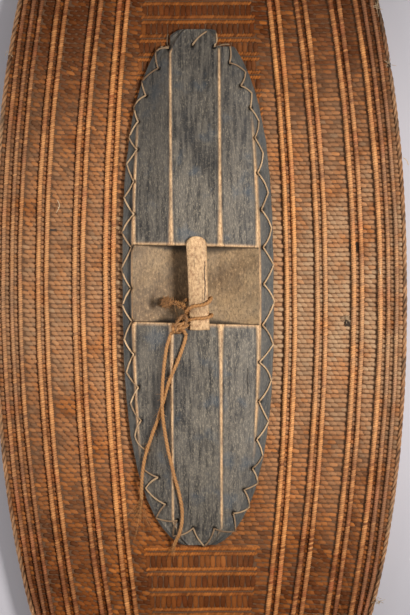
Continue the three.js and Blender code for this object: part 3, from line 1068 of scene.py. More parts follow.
    def painted_falloff(self, x: np.ndarray, y: np.ndarray) -> np.ndarray:
        """Return how much darker the weave is towards its ends and its sides, as painted falloff of the
        light.
        """
        ends = np.where(y > 0, 0.68, 0.36) * np.clip(np.abs(y) / 330, 0, 1.1) ** 2
        return ends + 0.2 * (np.abs(x) / 240) ** 4

    def dust_at(self, x: np.ndarray, y: np.ndarray, edge: Values = 0.0) -> np.ndarray:
        """Return how grey the weave is: most in a wide belt over the middle, and on the right.

        Args:
            x: Places across.
            y: Places along.
            edge: 1 at the ends of a stretch between rods, 0 in its middle.

        Returns:
            One value for each place.
        """
        right = np.clip(0.5 + x / 260, 0, 1)
        # Painted light: greyer and paler in the strip left of the board, where its real shadow falls; less
        # grey in a strip at x 126
        side_strips = 0.4 * bell(x, -97, 9) - 0.16 * bell(x, 126, 14)
        return np.clip(bell(y, -10, 215) * (0.54 + 0.35 * right + 0.15 * edge + side_strips), 0, 1)

    def bands(self, material: bpy.types.Material) -> bpy.types.Object:
        """Lay the pairs of cords and the upright columns of the centre panel.

        Args:
            material: Their finish.

        Returns:
            The piece.
        """
        random = dice(7)
        skin = Skin()
        stitcher = Stitcher(self.form, skin, 5)
        ends = zip((-1, 1), self.band_pitch, self.band_from, self.band_first, strict=True)
        for way, pitch, known, nearest in ends:
            first = known - pitch * math.floor((known - nearest) / pitch)
            for middle in np.arange(first, self.band_last, pitch):
                self.band(stitcher, random, way, float(middle), pitch)
        return skin.piece("centre_bands", material, Slot.WEAVE)

    def band(
        self, stitcher: Stitcher, random: np.random.Generator, way: int, middle: float, pitch: float
    ) -> None:
        """Lay one pair of cords and the columns outside it.

        Args:
            stitcher: What lays the strands.
            random: The source of unevenness.
            way: 1 for the upper end, -1 for the lower.
            middle: How far the pair's middle is along the shield.
            pitch: How far it is to the next pair.
        """
        reach = self.reach(way * middle) - self.margin
        for offset, high, bright in self.cords:
            x = np.arange(-reach, reach, self.bead)
            x = x + random.normal(0, 0.15, len(x))
            y = way * (middle + offset) + 0.5 * wander(x, x * 0 + middle, 45, 5.0)
            tone = Uneven(bright, 0.16, 40, 6.0, 0.14).at(x, y, random)
            tone = np.clip(tone - 0.7 * self.painted_falloff(x, y), 0, 1)
            dust = 0.04 + 0.3 * self.dust_at(x, y)
            stitcher.lay(x, y, self.bead_turn, *self.bead_half, high, self.bead_foot, tone=tone, dust=dust)
        x = np.arange(-reach + 2, reach - 2, self.column)
        x = x + random.normal(0, 0.25, len(x))
        half = (pitch - self.cords_wide) / 2
        y = way * (middle + self.cords_wide / 2 + half) + random.normal(0, 0.3, len(x))
        tone = np.clip(self.column_shade.at(x, y, random) - self.painted_falloff(x, y), 0, 1)
        turn = math.pi / 2 + random.normal(0, 0.05, len(x))
        size = (half + self.column_overlap, self.column_half, self.column_high)
        stitcher.lay(x, y, turn, *size, self.column_foot, tone=tone, dust=0.7 * self.dust_at(x, y))

    def outer_side(self, material: bpy.types.Material) -> bpy.types.Object:
        """Lay the plainer stitches of the outer face, in rows that run right across.

        Args:
            material: Their finish.

        Returns:
            The piece.
        """
        random = dice(3)
        skin = Skin()

        def whole_row(y: float) -> list[tuple[float, float]]:
            """Return the one stretch of a row."""
            limit = float(self.form.half_at(y, self.form.rim_wide + 1.2))
            return [(-limit, limit)]

        x, y, step, _ = self.courses(whole_row, self.outer_stitch, (-0.15, 0.15))
        lean = self.outer_lean.at(x, y, random)
        tone = np.clip(self.outer_shade.at(x, y, random), 0, 1)
        high, dust = self.outer_high.at(x, y), self.outer_dust.at(x, y)
        stitcher = Stitcher(self.form, skin, 3, outer=True)
        half_long = step / 2 + self.outer_overlap
        stitcher.lay(x, y, lean, half_long, self.outer_half, high, self.outer_foot, tone=tone, dust=dust)
        return skin.piece("outer_weave", material, Slot.WEAVE)

    def sheet_core(self, material: bpy.types.Material) -> bpy.types.Object:
        """Make the dark inside of the sheet, which shows between the stitches.

        Args:
            material: Its finish.

        Returns:
            The piece.
        """
        angle = np.linspace(0, 2 * math.pi, 144, endpoint=False)
        share = np.concatenate([np.linspace(0.02, 1, 26), np.linspace(1, 0.02, 26)])[:, None]
        x, y = (share * part for part in self.form.outline(angle, self.form.rim_wide - 1))
        z = self.form.dish(x, y) + np.repeat(self.core, 26)[:, None]
        skin = Skin()
        skin.grid(np.stack([x, y, z], axis=-1), around=True, tone=0.2, dust=0.1, relief=0.6)
        return skin.piece("weave_core", material, Slot.WEAVE)


@dataclass
class WrappedRods:
    """Rods wound with raffia, on one side of the shield."""

    form: ShieldForm
    wrap: float = 2.7
    lean: float = 0.28
    depth: float = 0.16
    arch: int = 7
    lift: float = 0.4
    room: tuple[float, float] = (-0.6, 4.75)
    dull: dict = field(
        default_factory=lambda: {
            (Side.RIGHT, 6): 0.16, (Side.RIGHT, 8): 0.5, (Side.RIGHT, 9): 0.6,
            (Side.LEFT, 5): 0.05, (Side.LEFT, 7): 0.24, (Side.LEFT, 8): 0.4, (Side.LEFT, 9): 0.3,
        }
    )

    def build(self, side: Side, material: bpy.types.Material) -> bpy.types.Object:
        """Wind every rod of one side.

        Args:
            side: Left or right.
            material: The finish.

        Returns:
            The piece.
        """
        random = dice(11 + side.value)
        skin = Skin()
        for count, rod in enumerate(self.form.rods(), start=1):
            self.wind(skin, random, side, rod, count)
        return skin.piece(f"rods_{side.name.lower()}", material, Slot.ROD)

    def wind(self, skin: Skin, random: np.random.Generator, side: Side, rod: tuple, count: int) -> None:
        """Wind one rod.

        Args:
            skin: The mesh to fill.
            random: The source of unevenness.
            side: Left or right.
            rod: Its group, its number there and how far along the shield it runs.
            count: Its number on this side.
        """
        form = self.form
        group, number, end = rod
        dull = self.dull.get((side, count), 0.0)
        turns = int(2 * (end + 2) / self.wrap)
        middle = -end - 2 + self.wrap * (np.arange(turns) + 0.5)
        middle = middle + random.normal(0, 0.1, turns)
        swell = 1 + random.normal(0, 0.05, turns) + 0.06 * wander(middle, 0 * middle + count, 34, count)
        ring = np.array([1 - self.depth, 1, 1 - self.depth])[:, None]
        size = (swell * (1 - 0.32 * dull))[:, None, None] * ring
        angle = np.linspace(-0.12, math.pi + 0.12, self.arch)
        across = np.cos(angle) * (form.rod_wide / 2 + 0.15) * size
        up = np.sin(angle) * (form.rod_high + 0.1) * size
        y = middle[:, None, None] + np.array([-0.54, 0.0, 0.54])[:, None] * self.wrap + self.lean * across
        centre = side.value * form.rod_x(group, number, np.clip(y, -end, end))
        centre = centre + 0.35 * wander(y, y * 0, 60, count + side.value * 0.3)
        z = form.dish(centre, y) + form.thick + self.lift + np.clip(up, *self.room)
        points = np.stack([centre + across, y, z], axis=-1).reshape(turns, 3 * self.arch, 3)
        tone = Uneven(0.74, 0.3, 37, count + 0.4 * side.value, 0.17).at(middle, middle * 0, random)
        # The last term is painted falloff of the light: the rods darken towards the shield's ends
        tone = tone + 0.16 * (count < 3) - dull - 0.42 * np.clip(np.abs(middle) / 330, 0, 1.1) ** 2
        dust = self.dust_at(side, middle, 0.3 * dull - 0.1 * (count < 3))
        # Painted shade: low relief on each wrap's sides and at its ends, between wraps
        low = np.outer((0.24, 1.0, 0.24), 0.5 + 0.5 * np.clip(np.sin(angle), 0, 1)).ravel()
        skin.alike(points, cells(3, self.arch)[:, ::-1], low, tone=np.clip(tone, 0, 1), dust=dust)

    def dust_at(self, side: Side, y: np.ndarray, grey: float) -> np.ndarray:
        """Return how dusty a rod is along its length."""
        return np.clip(0.03 + bell(y, -10, 200) * (0.5 if side is Side.RIGHT else 0.34) + grey, 0, 1)


@dataclass
class RimPlait:
    """The twisted binding round the edge."""

    form: ShieldForm
    high: float = 11.5
    steps: int = 1500
    sides: int = 16
    strands: int = 3
    lay: float = 10.0
    depth: float = 0.36
    worn: tuple = ((229.0, 262.0, 9.0, 0.55), (214.0, 330.0, 12.0, 0.35), (-222.0, 182.0, 8.0, -0.12))

    def build(self, material: bpy.types.Material) -> bpy.types.Object:
        """Twist the binding round the whole edge.

        Args:
            material: Its finish.

        Returns:
            The piece.
        """
        form = self.form
        x, y = form.outline(np.linspace(0, 2 * math.pi, 40001), form.rim_wide / 2)
        run = run_along(np.column_stack([x, y]))
        at = np.linspace(0, run[-1], self.steps, endpoint=False)
        x, y = np.interp(at, run, x), np.interp(at, run, y)
        ahead = unit(np.column_stack([np.roll(part, -1) - np.roll(part, 1) for part in (x, y)]))
        x, y, at = x[:, None], y[:, None], at[:, None]
        turn = np.linspace(0, 2 * math.pi, self.sides, endpoint=False)[None]
        lays = round(run[-1] / self.lay)
        twist = self.strands / 2 * turn + math.pi * lays * (at / run[-1]) * self.strands / 3
        ridge = np.abs(np.sin(twist)) ** 0.7
        size = 1 - self.depth + self.depth * ridge + 0.05 * wander(at, at * 0, 33, 2.0)
        for wx, wy, long, cut in self.worn:
            size = size * (1 - cut * bell(x, wx, 14) * bell(y, wy, long))
        out = np.cos(turn) * size * (form.rim_wide / 2 + 0.2)
        up = np.sin(turn) * size * (self.high / 2)
        z = form.dish(x, y) + form.thick / 2 + up
        points = np.stack([x + ahead[:, 1:] * out, y - ahead[:, :1] * out, z], axis=-1)
        dark = 0.4 * bell(y, 300, 60) * (x > 0)
        tone = 0.36 + 0.34 * wander(at, at * 0, 21, 3.0) + 0.2 * wander(at, at * 0, 5, 1.0) - dark
        # Painted light and shade: each strand's crest is lighter and the grooves between strands darker, in
        # tone and in relief
        tone = np.clip(tone + 0.5 * (ridge - 0.5), 0, 1)
        dust = np.clip(0.18 + 0.2 * wander(at, at * 0, 90, 1.0), 0, 1) + ridge * 0
        closed = (np.concatenate([part, part[:1]])[:, ::-1] for part in (points, tone, dust, ridge))
        points, tone, dust, ridge = closed
        skin = Skin()
        skin.grid(points, around=True, tone=tone, dust=dust, relief=ridge)
        return skin.piece("rim_plait", material, Slot.RIM)


@dataclass
class GripBoard:
    """The carved board: its ridged face, the hollow for the hand, the bar and the holes of the lacing."""

    form: GripBoardForm
    rows: int = 400
    flange: int = 8
    side: int = 28
    middle: int = 18
    recess_y: float = 2.7
    recess_half: float = 46.0
    skew: float = -0.0314
    floor: tuple[float, float, float] = (5.2, 10.0, 75.0)
    bead: float = 1.0
    groove: float = 0.35
    # Strength of the painted shadow on the hollow's floor along its walls
    shadow: float = 0.86
    bar_at: tuple[float, float] = (-2.6, 4.2)
    bar_long: float = 110.6
    bar_wide: float = 24.0
    bar_under: float = 27.0
    bar_top: float = 39.5
    bar_lean: float = 0.0325
    bar_round: float = 9.0
    hole: float = 2.7
    hole_deep: float = 3.6

    def columns(self, y: float) -> np.ndarray:
        """Return one row of the face from left to right.

        Args:
            y: Its place along the board.

        Returns:
            The places across, the heights, how far each is from a ridge, and 1 where that is an outer one.
        """
        form = self.form
        places, heights = form.features(y)
        axis, crown = form.ridge_axis, heights[4]
        found = []
        for order in (1, -1):
            edge, foot, outer, _, inner = places[::order][:5]
            low, step, high = heights[::order][:3]
            t = np.linspace(0, 1, self.flange, endpoint=False)
            a = np.stack([edge + (foot - edge) * t, low + (step - low) * t**2, t * 0 + 9, t * 0 + 1])
            t = np.array([0.0, 0.5])
            away = abs(outer - foot) * (1 - t)
            b = np.stack([foot + (outer - foot) * t, step + (high - step) * t, away, t * 0 + 1])
            t = 0.5 - 0.5 * np.cos(np.linspace(0, 1, self.side, endpoint=False) * math.pi)
            sag = 4 * form.side_hollow * t * (1 - t)
            away = np.minimum(t, 1 - t) * abs(inner - outer)
            c = np.stack([outer + (inner - outer) * t, high + (crown - high) * t - sag, away, t < 0.5])
            t = np.linspace(0, 1, self.middle, endpoint=False) ** 1.6
            dip = form.centre_hollow * (1 - (1 - t) ** 2)
            d = np.stack([inner + (axis - inner) * t, crown - dip, t * abs(inner - axis), t * 0])
            found.append(np.concatenate([a, b, c, d], axis=1))
        centre = np.array([[axis], [crown - form.centre_hollow], [29.0], [0.0]])
        return np.concatenate([found[0], centre, found[1][:, ::-1]], axis=1)

    def face_rows(self) -> list[float]:
        """Place the rows of the face, close together at the hollow's walls and at the shoulders.

        Returns:
            Where they lie along the board.
        """
        inner, outer = self.recess_half - 0.35, self.recess_half + 0.35
        walls = [self.recess_y + way * d for way in (-1, 1) for d in (inner, outer, outer + 0.7, outer + 1.8)]
        walls += [self.form.shoulder_y - 0.05, self.form.shoulder_y + 0.05]
        last = math.pi / 2 * 0.97
        even = (self.form.half_long - 0.2) * np.sin(np.linspace(-last, last, self.rows)) / math.sin(last)
        return sorted([*(float(y) for y in even if min(abs(y - w) for w in walls) > 0.5), *walls])

    def face_row(self, y: float) -> np.ndarray:
        """Carve one row of the face.

        Args:
            y: Its place along the board.

        Returns:
            Seven values for each point: its place, how worn it is, how free of painted shade, how sandy, and
                1 within the outer ridges.
        """
        form = self.form
        x, z, near, outer = self.columns(y)
        if y > form.shoulder_y:
            x = np.clip(x, *form.tongue)
        off = np.abs(x - form.ridge_axis)
        far = abs(y - self.recess_y)
        shift = self.skew * (x - form.ridge_axis) * np.clip((160 - far) / 100, 0, 1)
        fade = np.clip(1.15 - far / 420, 0.3, 1)
        bead_wide = 1.0 + 0.7 * fade + 1.5 * bell(max(far - self.recess_half, 0), 0, 30, 1.2)
        inner_room = np.clip((form.shoulder_y - 2 - y) / 4, 0, 1) * np.clip((300 + y) / 30, 0, 1)
        room = np.clip((form.outer_end - 8 - abs(y)) / 60, 0, 1) * outer + inner_room * (1 - outer)
        bead = bell(near, 0, bead_wide, 4) * room
        groove = bell(near, bead_wide + 1.7, 1.2)
        z = z + self.bead * bead * fade - self.groove * groove
        lowest, rise, reach = self.floor
        deep = lowest + rise * (off / reach) ** 2.2
        cut = (far < self.recess_half) & (deep < z)
        z = np.where(cut, deep, z)
        worn = bead * (0.8 + 0.2 * math.sin(y / 9.0)) * ~cut
        lip = bell(far, self.recess_half + 0.9, 1.5) * (off < reach - 2.5)
        # Painted shadow on the hollow's floor along its walls, widest towards the middle
        dark_reach = (1.5 + 9.0 * np.clip(1 - (off / reach) ** 2, 0, 1) ** 2) * (1.0 if y > 0 else 0.7)
        shade = self.shadow * bell(max(self.recess_half - far, 0), 0, dark_reach, 2.4) * cut
        wear = np.clip(worn + 0.8 * lip, 0, 1)
        # hollow is painted shade: in the groove beside each ridge and in the painted shadow along the walls
        hollow = (1 - 0.6 * groove * fade * room * ~cut) * (1 - shade)
        sand = cut * np.clip(0.85 + 0.15 * wander(x, x * 0 + y, 18, 2.0), 0, 1)
        facet = off <= off[self.flange + 2] + 1.5
        return np.stack([x, y + shift, z, wear, hollow, sand, facet], axis=1)

    def face(self, skin: Skin, holes: np.ndarray) -> None:
        """Carve the face and the edge.

        Args:
            skin: The mesh to fill.
            holes: The lacing's holes, in the shield's frame.
        """
        form = self.form
        every = np.array([self.face_row(y) for y in self.face_rows()])
        grid, (wear, hollow, sand, facet) = every[..., :3], np.moveaxis(every[..., 3:], -1, 0)
        grid[..., 0] += form.x
        x, y = grid[..., 0], grid[..., 1]
        grid[..., 2] += form.base + 0.3 * wander(x, y, 24, 1.0) * (1 - sand) + 0.18 * wander(x, y, 9, 4.0)
        for hx, hy in holes:
            pit = bell(np.hypot(x - hx, y - hy), 0, self.hole, 4)
            grid[..., 2] -= self.hole_deep * pit
            # Painted shade in each lacing hole
            hollow *= 1 - pit
        under = form.base - 0.2
        wave = 0.8 + 0.5 * wander(x, y, 16, 6.0)
        sides = []
        for column, way in ((0, -1), (-1, 1)):
            soft = grid[:, column] + np.array((0, 0, -1.2))
            soft[:, 0] += way * wave[:, column]
            low = soft.copy()
            low[:, 2] = under
            sides.append(np.stack([low, soft][::-way], axis=1))
        wide = np.concatenate([sides[0], grid, sides[1]], axis=1)
        ends = wide[[0, -1]].copy()
        ends[..., 2] = under
        full = np.concatenate([ends[:1], wide, ends[1:]])
        given = {"wear": (wear, 0.12), "relief": (hollow, 0.8), "dust": (sand, 0.0), "tone": (facet, 0.0)}
        values = {k: np.pad(v, ((1, 1), (2, 2)), constant_values=edge) for k, (v, edge) in given.items()}
        skin.grid(full, **values)

    def bar(self, skin: Skin) -> None:
        """Shape the bar: eased edges, a rounded upper end and a square lower end.

        Args:
            skin: The mesh to fill.
        """
        half_wide, half_long = self.bar_wide / 2, self.bar_long / 2
        middle, half_high = (self.bar_top + self.bar_under) / 2, (self.bar_top - self.bar_under) / 2
        stations = ([-1.0], np.linspace(-0.995, 0.93, 54), [0.955, 0.975, 0.99, 1.0])
        y = np.concatenate(stations)[:, None] * half_long
        past = np.maximum(y - half_long + self.bar_round, 0) / (self.bar_round + 0.2)
        narrow = np.sqrt(np.clip(1 - past**2, 0, 1))
        narrow[0], narrow[-1] = 0.05, 0.05
        narrow = narrow * (1 - 0.035 * bell(y, 0, 26))
        turn = np.linspace(0, 2 * math.pi, 36, endpoint=False)[None]
        across, up = spow(np.cos(turn), 0.42), spow(np.sin(turn), 0.42)
        x = across * half_wide * narrow - math.sin(self.bar_lean) * y + self.bar_at[0]
        rise = np.where(np.abs(y) > half_long - 0.5, 0.9, 1.0)
        z = self.form.base + middle + up * half_high * rise + 0.22 * wander(x, y + x * 0, 13, 3.0)
        points = np.stack([x, y + x * 0 + self.bar_at[1], z], axis=-1)
        lit = 0.44 + 0.24 * np.maximum(up, 0) + 0.22 * wander(x, points[..., 1], 22, 5.0)
        lit = lit - 0.3 * bell(y, -24, 13)
        worn = np.clip(lit, 0, 1) * (up > -0.3) * (1 - 0.6 * (np.abs(up) < 0.6))
        skin.grid(points[:, ::-1], around=True, tone=1.0, wear=worn[:, ::-1], relief=1.0, dust=0.95)

    def build(self, holes: np.ndarray, material: bpy.types.Material) -> bpy.types.Object:
        """Carve the board.

        Args:
            holes: The lacing's holes.
            material: Its finish.

        Returns:
            The piece.
        """
        skin = Skin()
        self.face(skin, holes)
        self.bar(skin)
        return skin.piece("carved_board", material, Slot.BOARD)


# The lacing's zig-zag, read off the picture: a hole, then where the thong dives at the edge, and so on round
LACING_STOPS = (
    (170, 48), (157, 51), (159.5, 68), (143, 81), (147, 95), (135, 106), (139, 121), (130, 137),
    (138, 149), (127.5, 163), (134.5, 181), (124.5, 197), (134.5, 214), (122.5, 232), (132, 247),
    (121.5, 268), (131, 288), (122.5, 305), (132, 321), (124, 339), (133.5, 354), (126, 372),
    (138, 387), (130, 403), (140.5, 420), (134, 436), (146, 450), (142.5, 469), (157, 477),
    (144.5, 488), (164, 504), (155, 518), (176, 520), (172, 536), (192, 528), (203, 546.5),
    (213, 528.5), (234, 532), (232, 513.5), (248.5, 508), (243, 490), (257, 484), (251.5, 469),
    (262, 456), (256, 440), (268, 422), (258.5, 402), (271, 381), (259, 362.5), (273, 345),
    (262.5, 325.5), (274.5, 302), (264, 284.5), (274, 265), (263.5, 247.5), (272, 228), (262, 210),
    (269, 193), (258.5, 173), (264, 153), (256, 138), (260, 121), (251.5, 108), (253, 93), (242, 86),
    (247, 72), (231, 63), (231.5, 46.5),
)
# The strands over the upper end's tongue and shoulders, each from its hole to the edge
LACING_TOP = (
    ((215.5, 47), (230.5, 43.5)), ((216, 46), (217.5, 32)), ((194, 45), (208, 31.5)),
    ((170, 47), (169.5, 33)), ((170, 48), (162.5, 46.5)),
)


@dataclass
class EdgeLacing:
    """The thong that zig-zags through the board's thin edge into the weave."""

    ground: Ground
    wide: float = 1.9
    high: float = 1.2
    lift: float = 0.45
    bow: float = 1.15
    dive: tuple = ((0, 3.0), (1, 0.9), (-1, 2.0))

    def holes(self) -> np.ndarray:
        """Return the holes in the shield's frame."""
        return np.array([place(*p) for p in LACING_STOPS[::2] + ((215.5, 47), (194, 45))])

    def strands(self) -> list[tuple[np.ndarray, np.ndarray]]:
        """List the thong's strands.

        Returns:
            Each strand's hole and its place over the edge, on the shield.
        """
        found = list(LACING_TOP)
        for i in range(len(LACING_STOPS) - 1):
            pair = LACING_STOPS[i : i + 2]
            found.append(pair[::-1] if i % 2 else pair)
        return [(np.array(place(*hole)), np.array(place(*edge))) for hole, edge in found]

    def build(self, material: bpy.types.Material) -> bpy.types.Object:
        """Lace the board down.

        Args:
            material: The thong's finish.

        Returns:
            The piece.
        """
        random = dice(30)
        skin = Skin()
        for hole, edge in self.strands():
            way = unit(edge - hole)
            outward = hole / (self.ground.board.half_wide**2, self.ground.board.half_long**2)
            side = np.array([-way[1], way[0]])
            side = side * math.copysign(self.bow, float(side.dot(outward))) + side * random.normal(0, 0.6)
            t = np.linspace(-0.03, 1.04, 16)
            line = hole + (edge - hole) * t[:, None] + side * np.sin(math.pi * np.clip(t, 0, 1))[:, None]
            level = np.array([self.ground.level(*p) for p in line])
            level = np.array([level[max(0, k - 1) : k + 2].max() for k in range(len(t))])
            level = np.convolve(np.pad(level, 1, mode="edge"), [0.25, 0.5, 0.25], "valid")
            z = level + self.lift + self.high / 2
            for at, depth in self.dive:
                z[at] -= depth
            path = flow(np.column_stack([line, z]), 1.6)
            # Painted falloff of the light: the thong darkens towards the board's ends
            far = float(np.clip(abs(hole[1]) / 300, 0, 1)) ** 2
            tone = float(np.clip(0.66 - 0.5 * far + random.normal(0, 0.2), 0, 1))
            wide = self.wide * (1 + 0.14 * wander(path[:, 0], path[:, 1], 6, 1.0))
            sweep(skin, path, wide, self.high, tone=tone, dust=float(random.uniform(0, 0.35)))
        return skin.piece("edge_lacing", material, Slot.THONG)


# The cord's two free strands, from the knot down over the board
TAIL_LEFT = (
    (-16.6, -57, 45.5), (-18.7, -65, 45.1), (-22.5, -76, 44.8), (-27, -88, 44.5), (-32, -99.5, 44),
    (-36.8, -110.5, 42.1), (-40.7, -122.5, 39.4), (-44, -134.5, 36.8), (-47.2, -144, 34.5),
    (-51.4, -158, 31.3), (-56.2, -170, 28.2), (-60.3, -182, 25.7), (-64.5, -194, 23.3),
    (-67.5, -206, 21.3), (-69.5, -218, 20.3), (-70.6, -230, 20.1), (-71.2, -241.5, 16.6),
    (-71.4, -253.5, 11.4),
)
TAIL_RIGHT = (
    (-34.9, -55.5, 45.9), (-37.1, -62, 44.4), (-39.5, -70, 42.8), (-41.5, -82, 41.3), (-43.1, -94, 40.2),
    (-44.3, -106, 40.3), (-45.1, -118, 41.8), (-45.5, -129.5, 41.9), (-45.5, -140.5, 41.3),
    (-45.1, -150, 40.3), (-44.3, -158, 38.6), (-42.8, -170, 35.6), (-40.7, -183, 34.5),
    (-38.3, -196, 34.2), (-35.6, -207, 34), (-33.2, -218, 33.2), (-30.6, -228.5, 31.7),
    (-27.6, -239, 30.1), (-24.9, -251, 28.4), (-23.1, -263, 26.6), (-22.8, -273.5, 25),
    (-24, -284, 24.2), (-26.4, -293, 24.6), (-30, -301, 19.6), (-33, -308.5, 13.4),
)


@dataclass
class BarCord:
    """The two-ply cord: its turns round the bar, its knot, its frayed knob and its two free strands."""

    board: GripBoard
    ground: Ground
    thick: float = 4.4
    lift: float = 0.7
    lay: float = 8.5
    step: float = 0.8
    turn_ends: tuple = (-15.5, -13.0, -31.0, -33.5, -41.0)
    turn_power: float = 4.0
    turn_stop: float = 0.2
    knot: tuple = (-23.5, -45.0, 49.6)
    knob: tuple = (-39.5, -18.0, 22.6)
    stalk: tuple = ((-37.5, -18, 24), (-31, -18.5, 28.5), (-24, -20.5, 35), (-17, -25, 41.5))

    def turns(self) -> np.ndarray:
        """Wind the line of the turns round the bar, which ends in the knot.

        Returns:
            Its points.
        """
        bar, form = self.board, self.board.form
        wide = bar.bar_wide / 2 + self.thick / 2 + self.lift
        high = (bar.bar_top - bar.bar_under) / 2 + self.thick / 2 + self.lift
        middle = form.base + (bar.bar_top + bar.bar_under) / 2
        halves = len(self.turn_ends) - 1
        turned = np.linspace(0, halves - self.turn_stop, 57)
        y = np.interp(turned, np.arange(halves + 1), self.turn_ends)
        angle = math.pi * (1 + turned)
        centre = bar.bar_at[0] - math.sin(bar.bar_lean) * (y - bar.bar_at[1])
        x = centre + wide * spow(np.cos(angle), 2 / self.turn_power)
        z = middle + high * spow(np.sin(angle), 2 / self.turn_power)
        return np.vstack([np.column_stack([x, y, z]), self.knot])

    def strand(self, skin: Skin, path: np.ndarray, share: float, tone: float) -> None:
        """Draw one length of two-ply cord, as thick as a share of the whole one."""
        thick = self.thick * share * (1 + 0.07 * wander(path[:, 0] + path[:, 2], path[:, 1], 7, tone * 9))
        sweep(skin, path, thick, thick, 12, plies=2, lay=self.lay, tone=tone, dust=0.12)

    def hairs(
        self, skin: Skin, random: np.random.Generator, roots: np.ndarray, ways: np.ndarray, long: float,
        thick: float, tones: tuple[float, float] = (0.3, 1.0),
    ) -> None:
        """Draw loose fibres.

        Args:
            skin: The mesh to fill.
            random: The source of unevenness.
            roots: Where they start.
            ways: Which way each sets off.
            long: About how long they are.
            thick: About how thick they are.
            tones: The darkest and the lightest.
        """
        for root, way in zip(roots, ways, strict=True):
            length = long * random.uniform(0.5, 1.3)
            curl = random.normal(0, 0.35, 3)
            t = np.linspace(0, 1, 6)[:, None]
            path = root + way * length * t + curl * length * t**2
            path[:, 2] = [max(z, self.ground.level(x, y) + 0.3) for x, y, z in path]
            fine = thick * random.uniform(0.6, 1.2)
            sweep(skin, path, fine, fine, 3, tone=float(random.uniform(*tones)), dust=0.05)

    def knotted(self, skin: Skin) -> None:
        """Tie the knot of five crossing rings, with the free strands' starts let into it.

        Args:
            skin: The mesh to fill.
        """
        turn = np.linspace(0, 2 * math.pi, 60)
        for k in range(5):
            size = np.array((5.2 + 0.8 * (k % 2), 11.0 - 1.6 * k, 3.6))
            height = np.sin(2 * turn + 1.9 * k) * 0.7
            ring = np.column_stack([np.cos(turn), np.sin(turn + 0.5 * k), height]) * size
            lean = -0.42 + 0.5 * math.sin(2.4 * k)
            cos, sin = math.cos(lean), math.sin(lean)
            ring = ring @ np.array([[cos, sin, 0], [-sin, cos, 0], [0, 0, 1]])
            middle = np.array(self.knot) + (1.2 - 0.8 * k, 1.5 - 1.3 * k, 0.3 - 0.5 * (k % 2))
            self.strand(skin, flow(ring + middle, self.step), 0.8, 0.15 + 0.14 * k)
        for start in (TAIL_LEFT[0], TAIL_RIGHT[0]):
            reach = np.array(self.knot) + (np.array(start) - self.knot) * np.linspace(0.1, 1.05, 6)[:, None]
            self.strand(skin, flow(reach, self.step), 1.0, 0.5)

    def frayed(self, skin: Skin) -> np.ndarray:
        """Wind the knob and the four plies of its stalk.

        Args:
            skin: The mesh to fill.

        Returns:
            The stalk's line.
        """
        stalk = flow(self.stalk, self.step)
        for k in range(4):
            spin = np.linspace(0, 3.4, len(stalk)) + k * math.pi / 2
            ply = np.column_stack([spin * 0, 1.7 * np.cos(spin), 1.7 * np.sin(spin)])
            self.strand(skin, stalk + ply, 0.62, 0.1 + 0.16 * k)
        turn = np.linspace(0, 2 * math.pi, 60)
        for k in range(5):
            size = np.array((5.4, 5.0, 4.4)) * (1 - 0.09 * k)
            wound = np.column_stack([np.cos(turn + k), np.sin(turn + k), np.sin(turn + 2.1 * k) * 0.8])
            cos, sin = math.cos(k), math.sin(k)
            wound = wound @ np.array([[cos, 0, -sin], [0, 1, 0], [sin, 0, cos]])
            self.strand(skin, flow(wound * size + self.knob, 0.9), 0.7, 0.06 * k)
        return stalk

    def lashing(self, material: bpy.types.Material) -> bpy.types.Object:
        """Wind the cord round the bar, knot it and fray the knob.

        Args:
            material: Its finish.

        Returns:
            The piece.
        """
        random = dice(40)
        skin = Skin()
        self.strand(skin, flow(self.turns(), self.step), 1.0, 0.5)
        self.knotted(skin)
        stalk = self.frayed(skin)
        ways = unit(random.normal(0, 1, (220, 3)))
        ways[:, 2] = np.abs(ways[:, 2]) * 0.8
        self.hairs(skin, random, self.knob + ways * 3.4, ways, 4.6, 0.6, (0.0, 0.45))
        roots = stalk[random.integers(0, len(stalk), 60)] + random.normal(0, 1.2, (60, 3))
        self.hairs(skin, random, roots, random.normal(0, 0.6, (60, 3)), 5.0, 0.45)
        ways = unit(random.normal(0, 1, (60, 3)) * (1, 1, 0.4))
        self.hairs(skin, random, self.knot + ways * (5, 6, 2.5), ways * (1, 1, 0.5), 5.0, 0.4, (0.1, 0.8))
        return skin.piece("cord_turns", material, Slot.CORD)

    def tail(
        self, name: str, points: tuple, fray: float, material: bpy.types.Material
    ) -> bpy.types.Object:
        """Lay one free strand with its loose fibres and frayed end.

        Args:
            name: The piece's name.
            points: Its route.
            fray: About how long its frayed end is.
            material: Its finish.

        Returns:
            The strand.
        """
        random = dice(50 + len(points))
        path = flow(points, 0.9)
        skin, tuft = Skin(), Skin()
        self.strand(skin, path, 1.0, 0.55)
        made = skin.piece(name, material, Slot.CORD)
        pick = random.integers(4, len(path) - 4, 90)
        along = unit(np.gradient(path, axis=0)[pick])
        out = random.normal(0, 0.55, (90, 3)) * (1, 1, 0.5)
        self.hairs(tuft, random, path[pick] + out, along + out * 0.7, 5.5, 0.32)
        last = unit(path[-1] - path[-6])
        last[2] = max(last[2], -0.12)
        ways = last + random.normal(0, 0.16, (26, 3)) * (1, 1, 0.25)
        roots = path[-3] + random.normal(0, 0.8, (26, 3)) * (1, 1, 0.4)
        self.hairs(tuft, random, roots, ways, fray, 0.4)
        loose = tuft.piece(f"{name}_fibres", material, Slot.CORD)
        return made


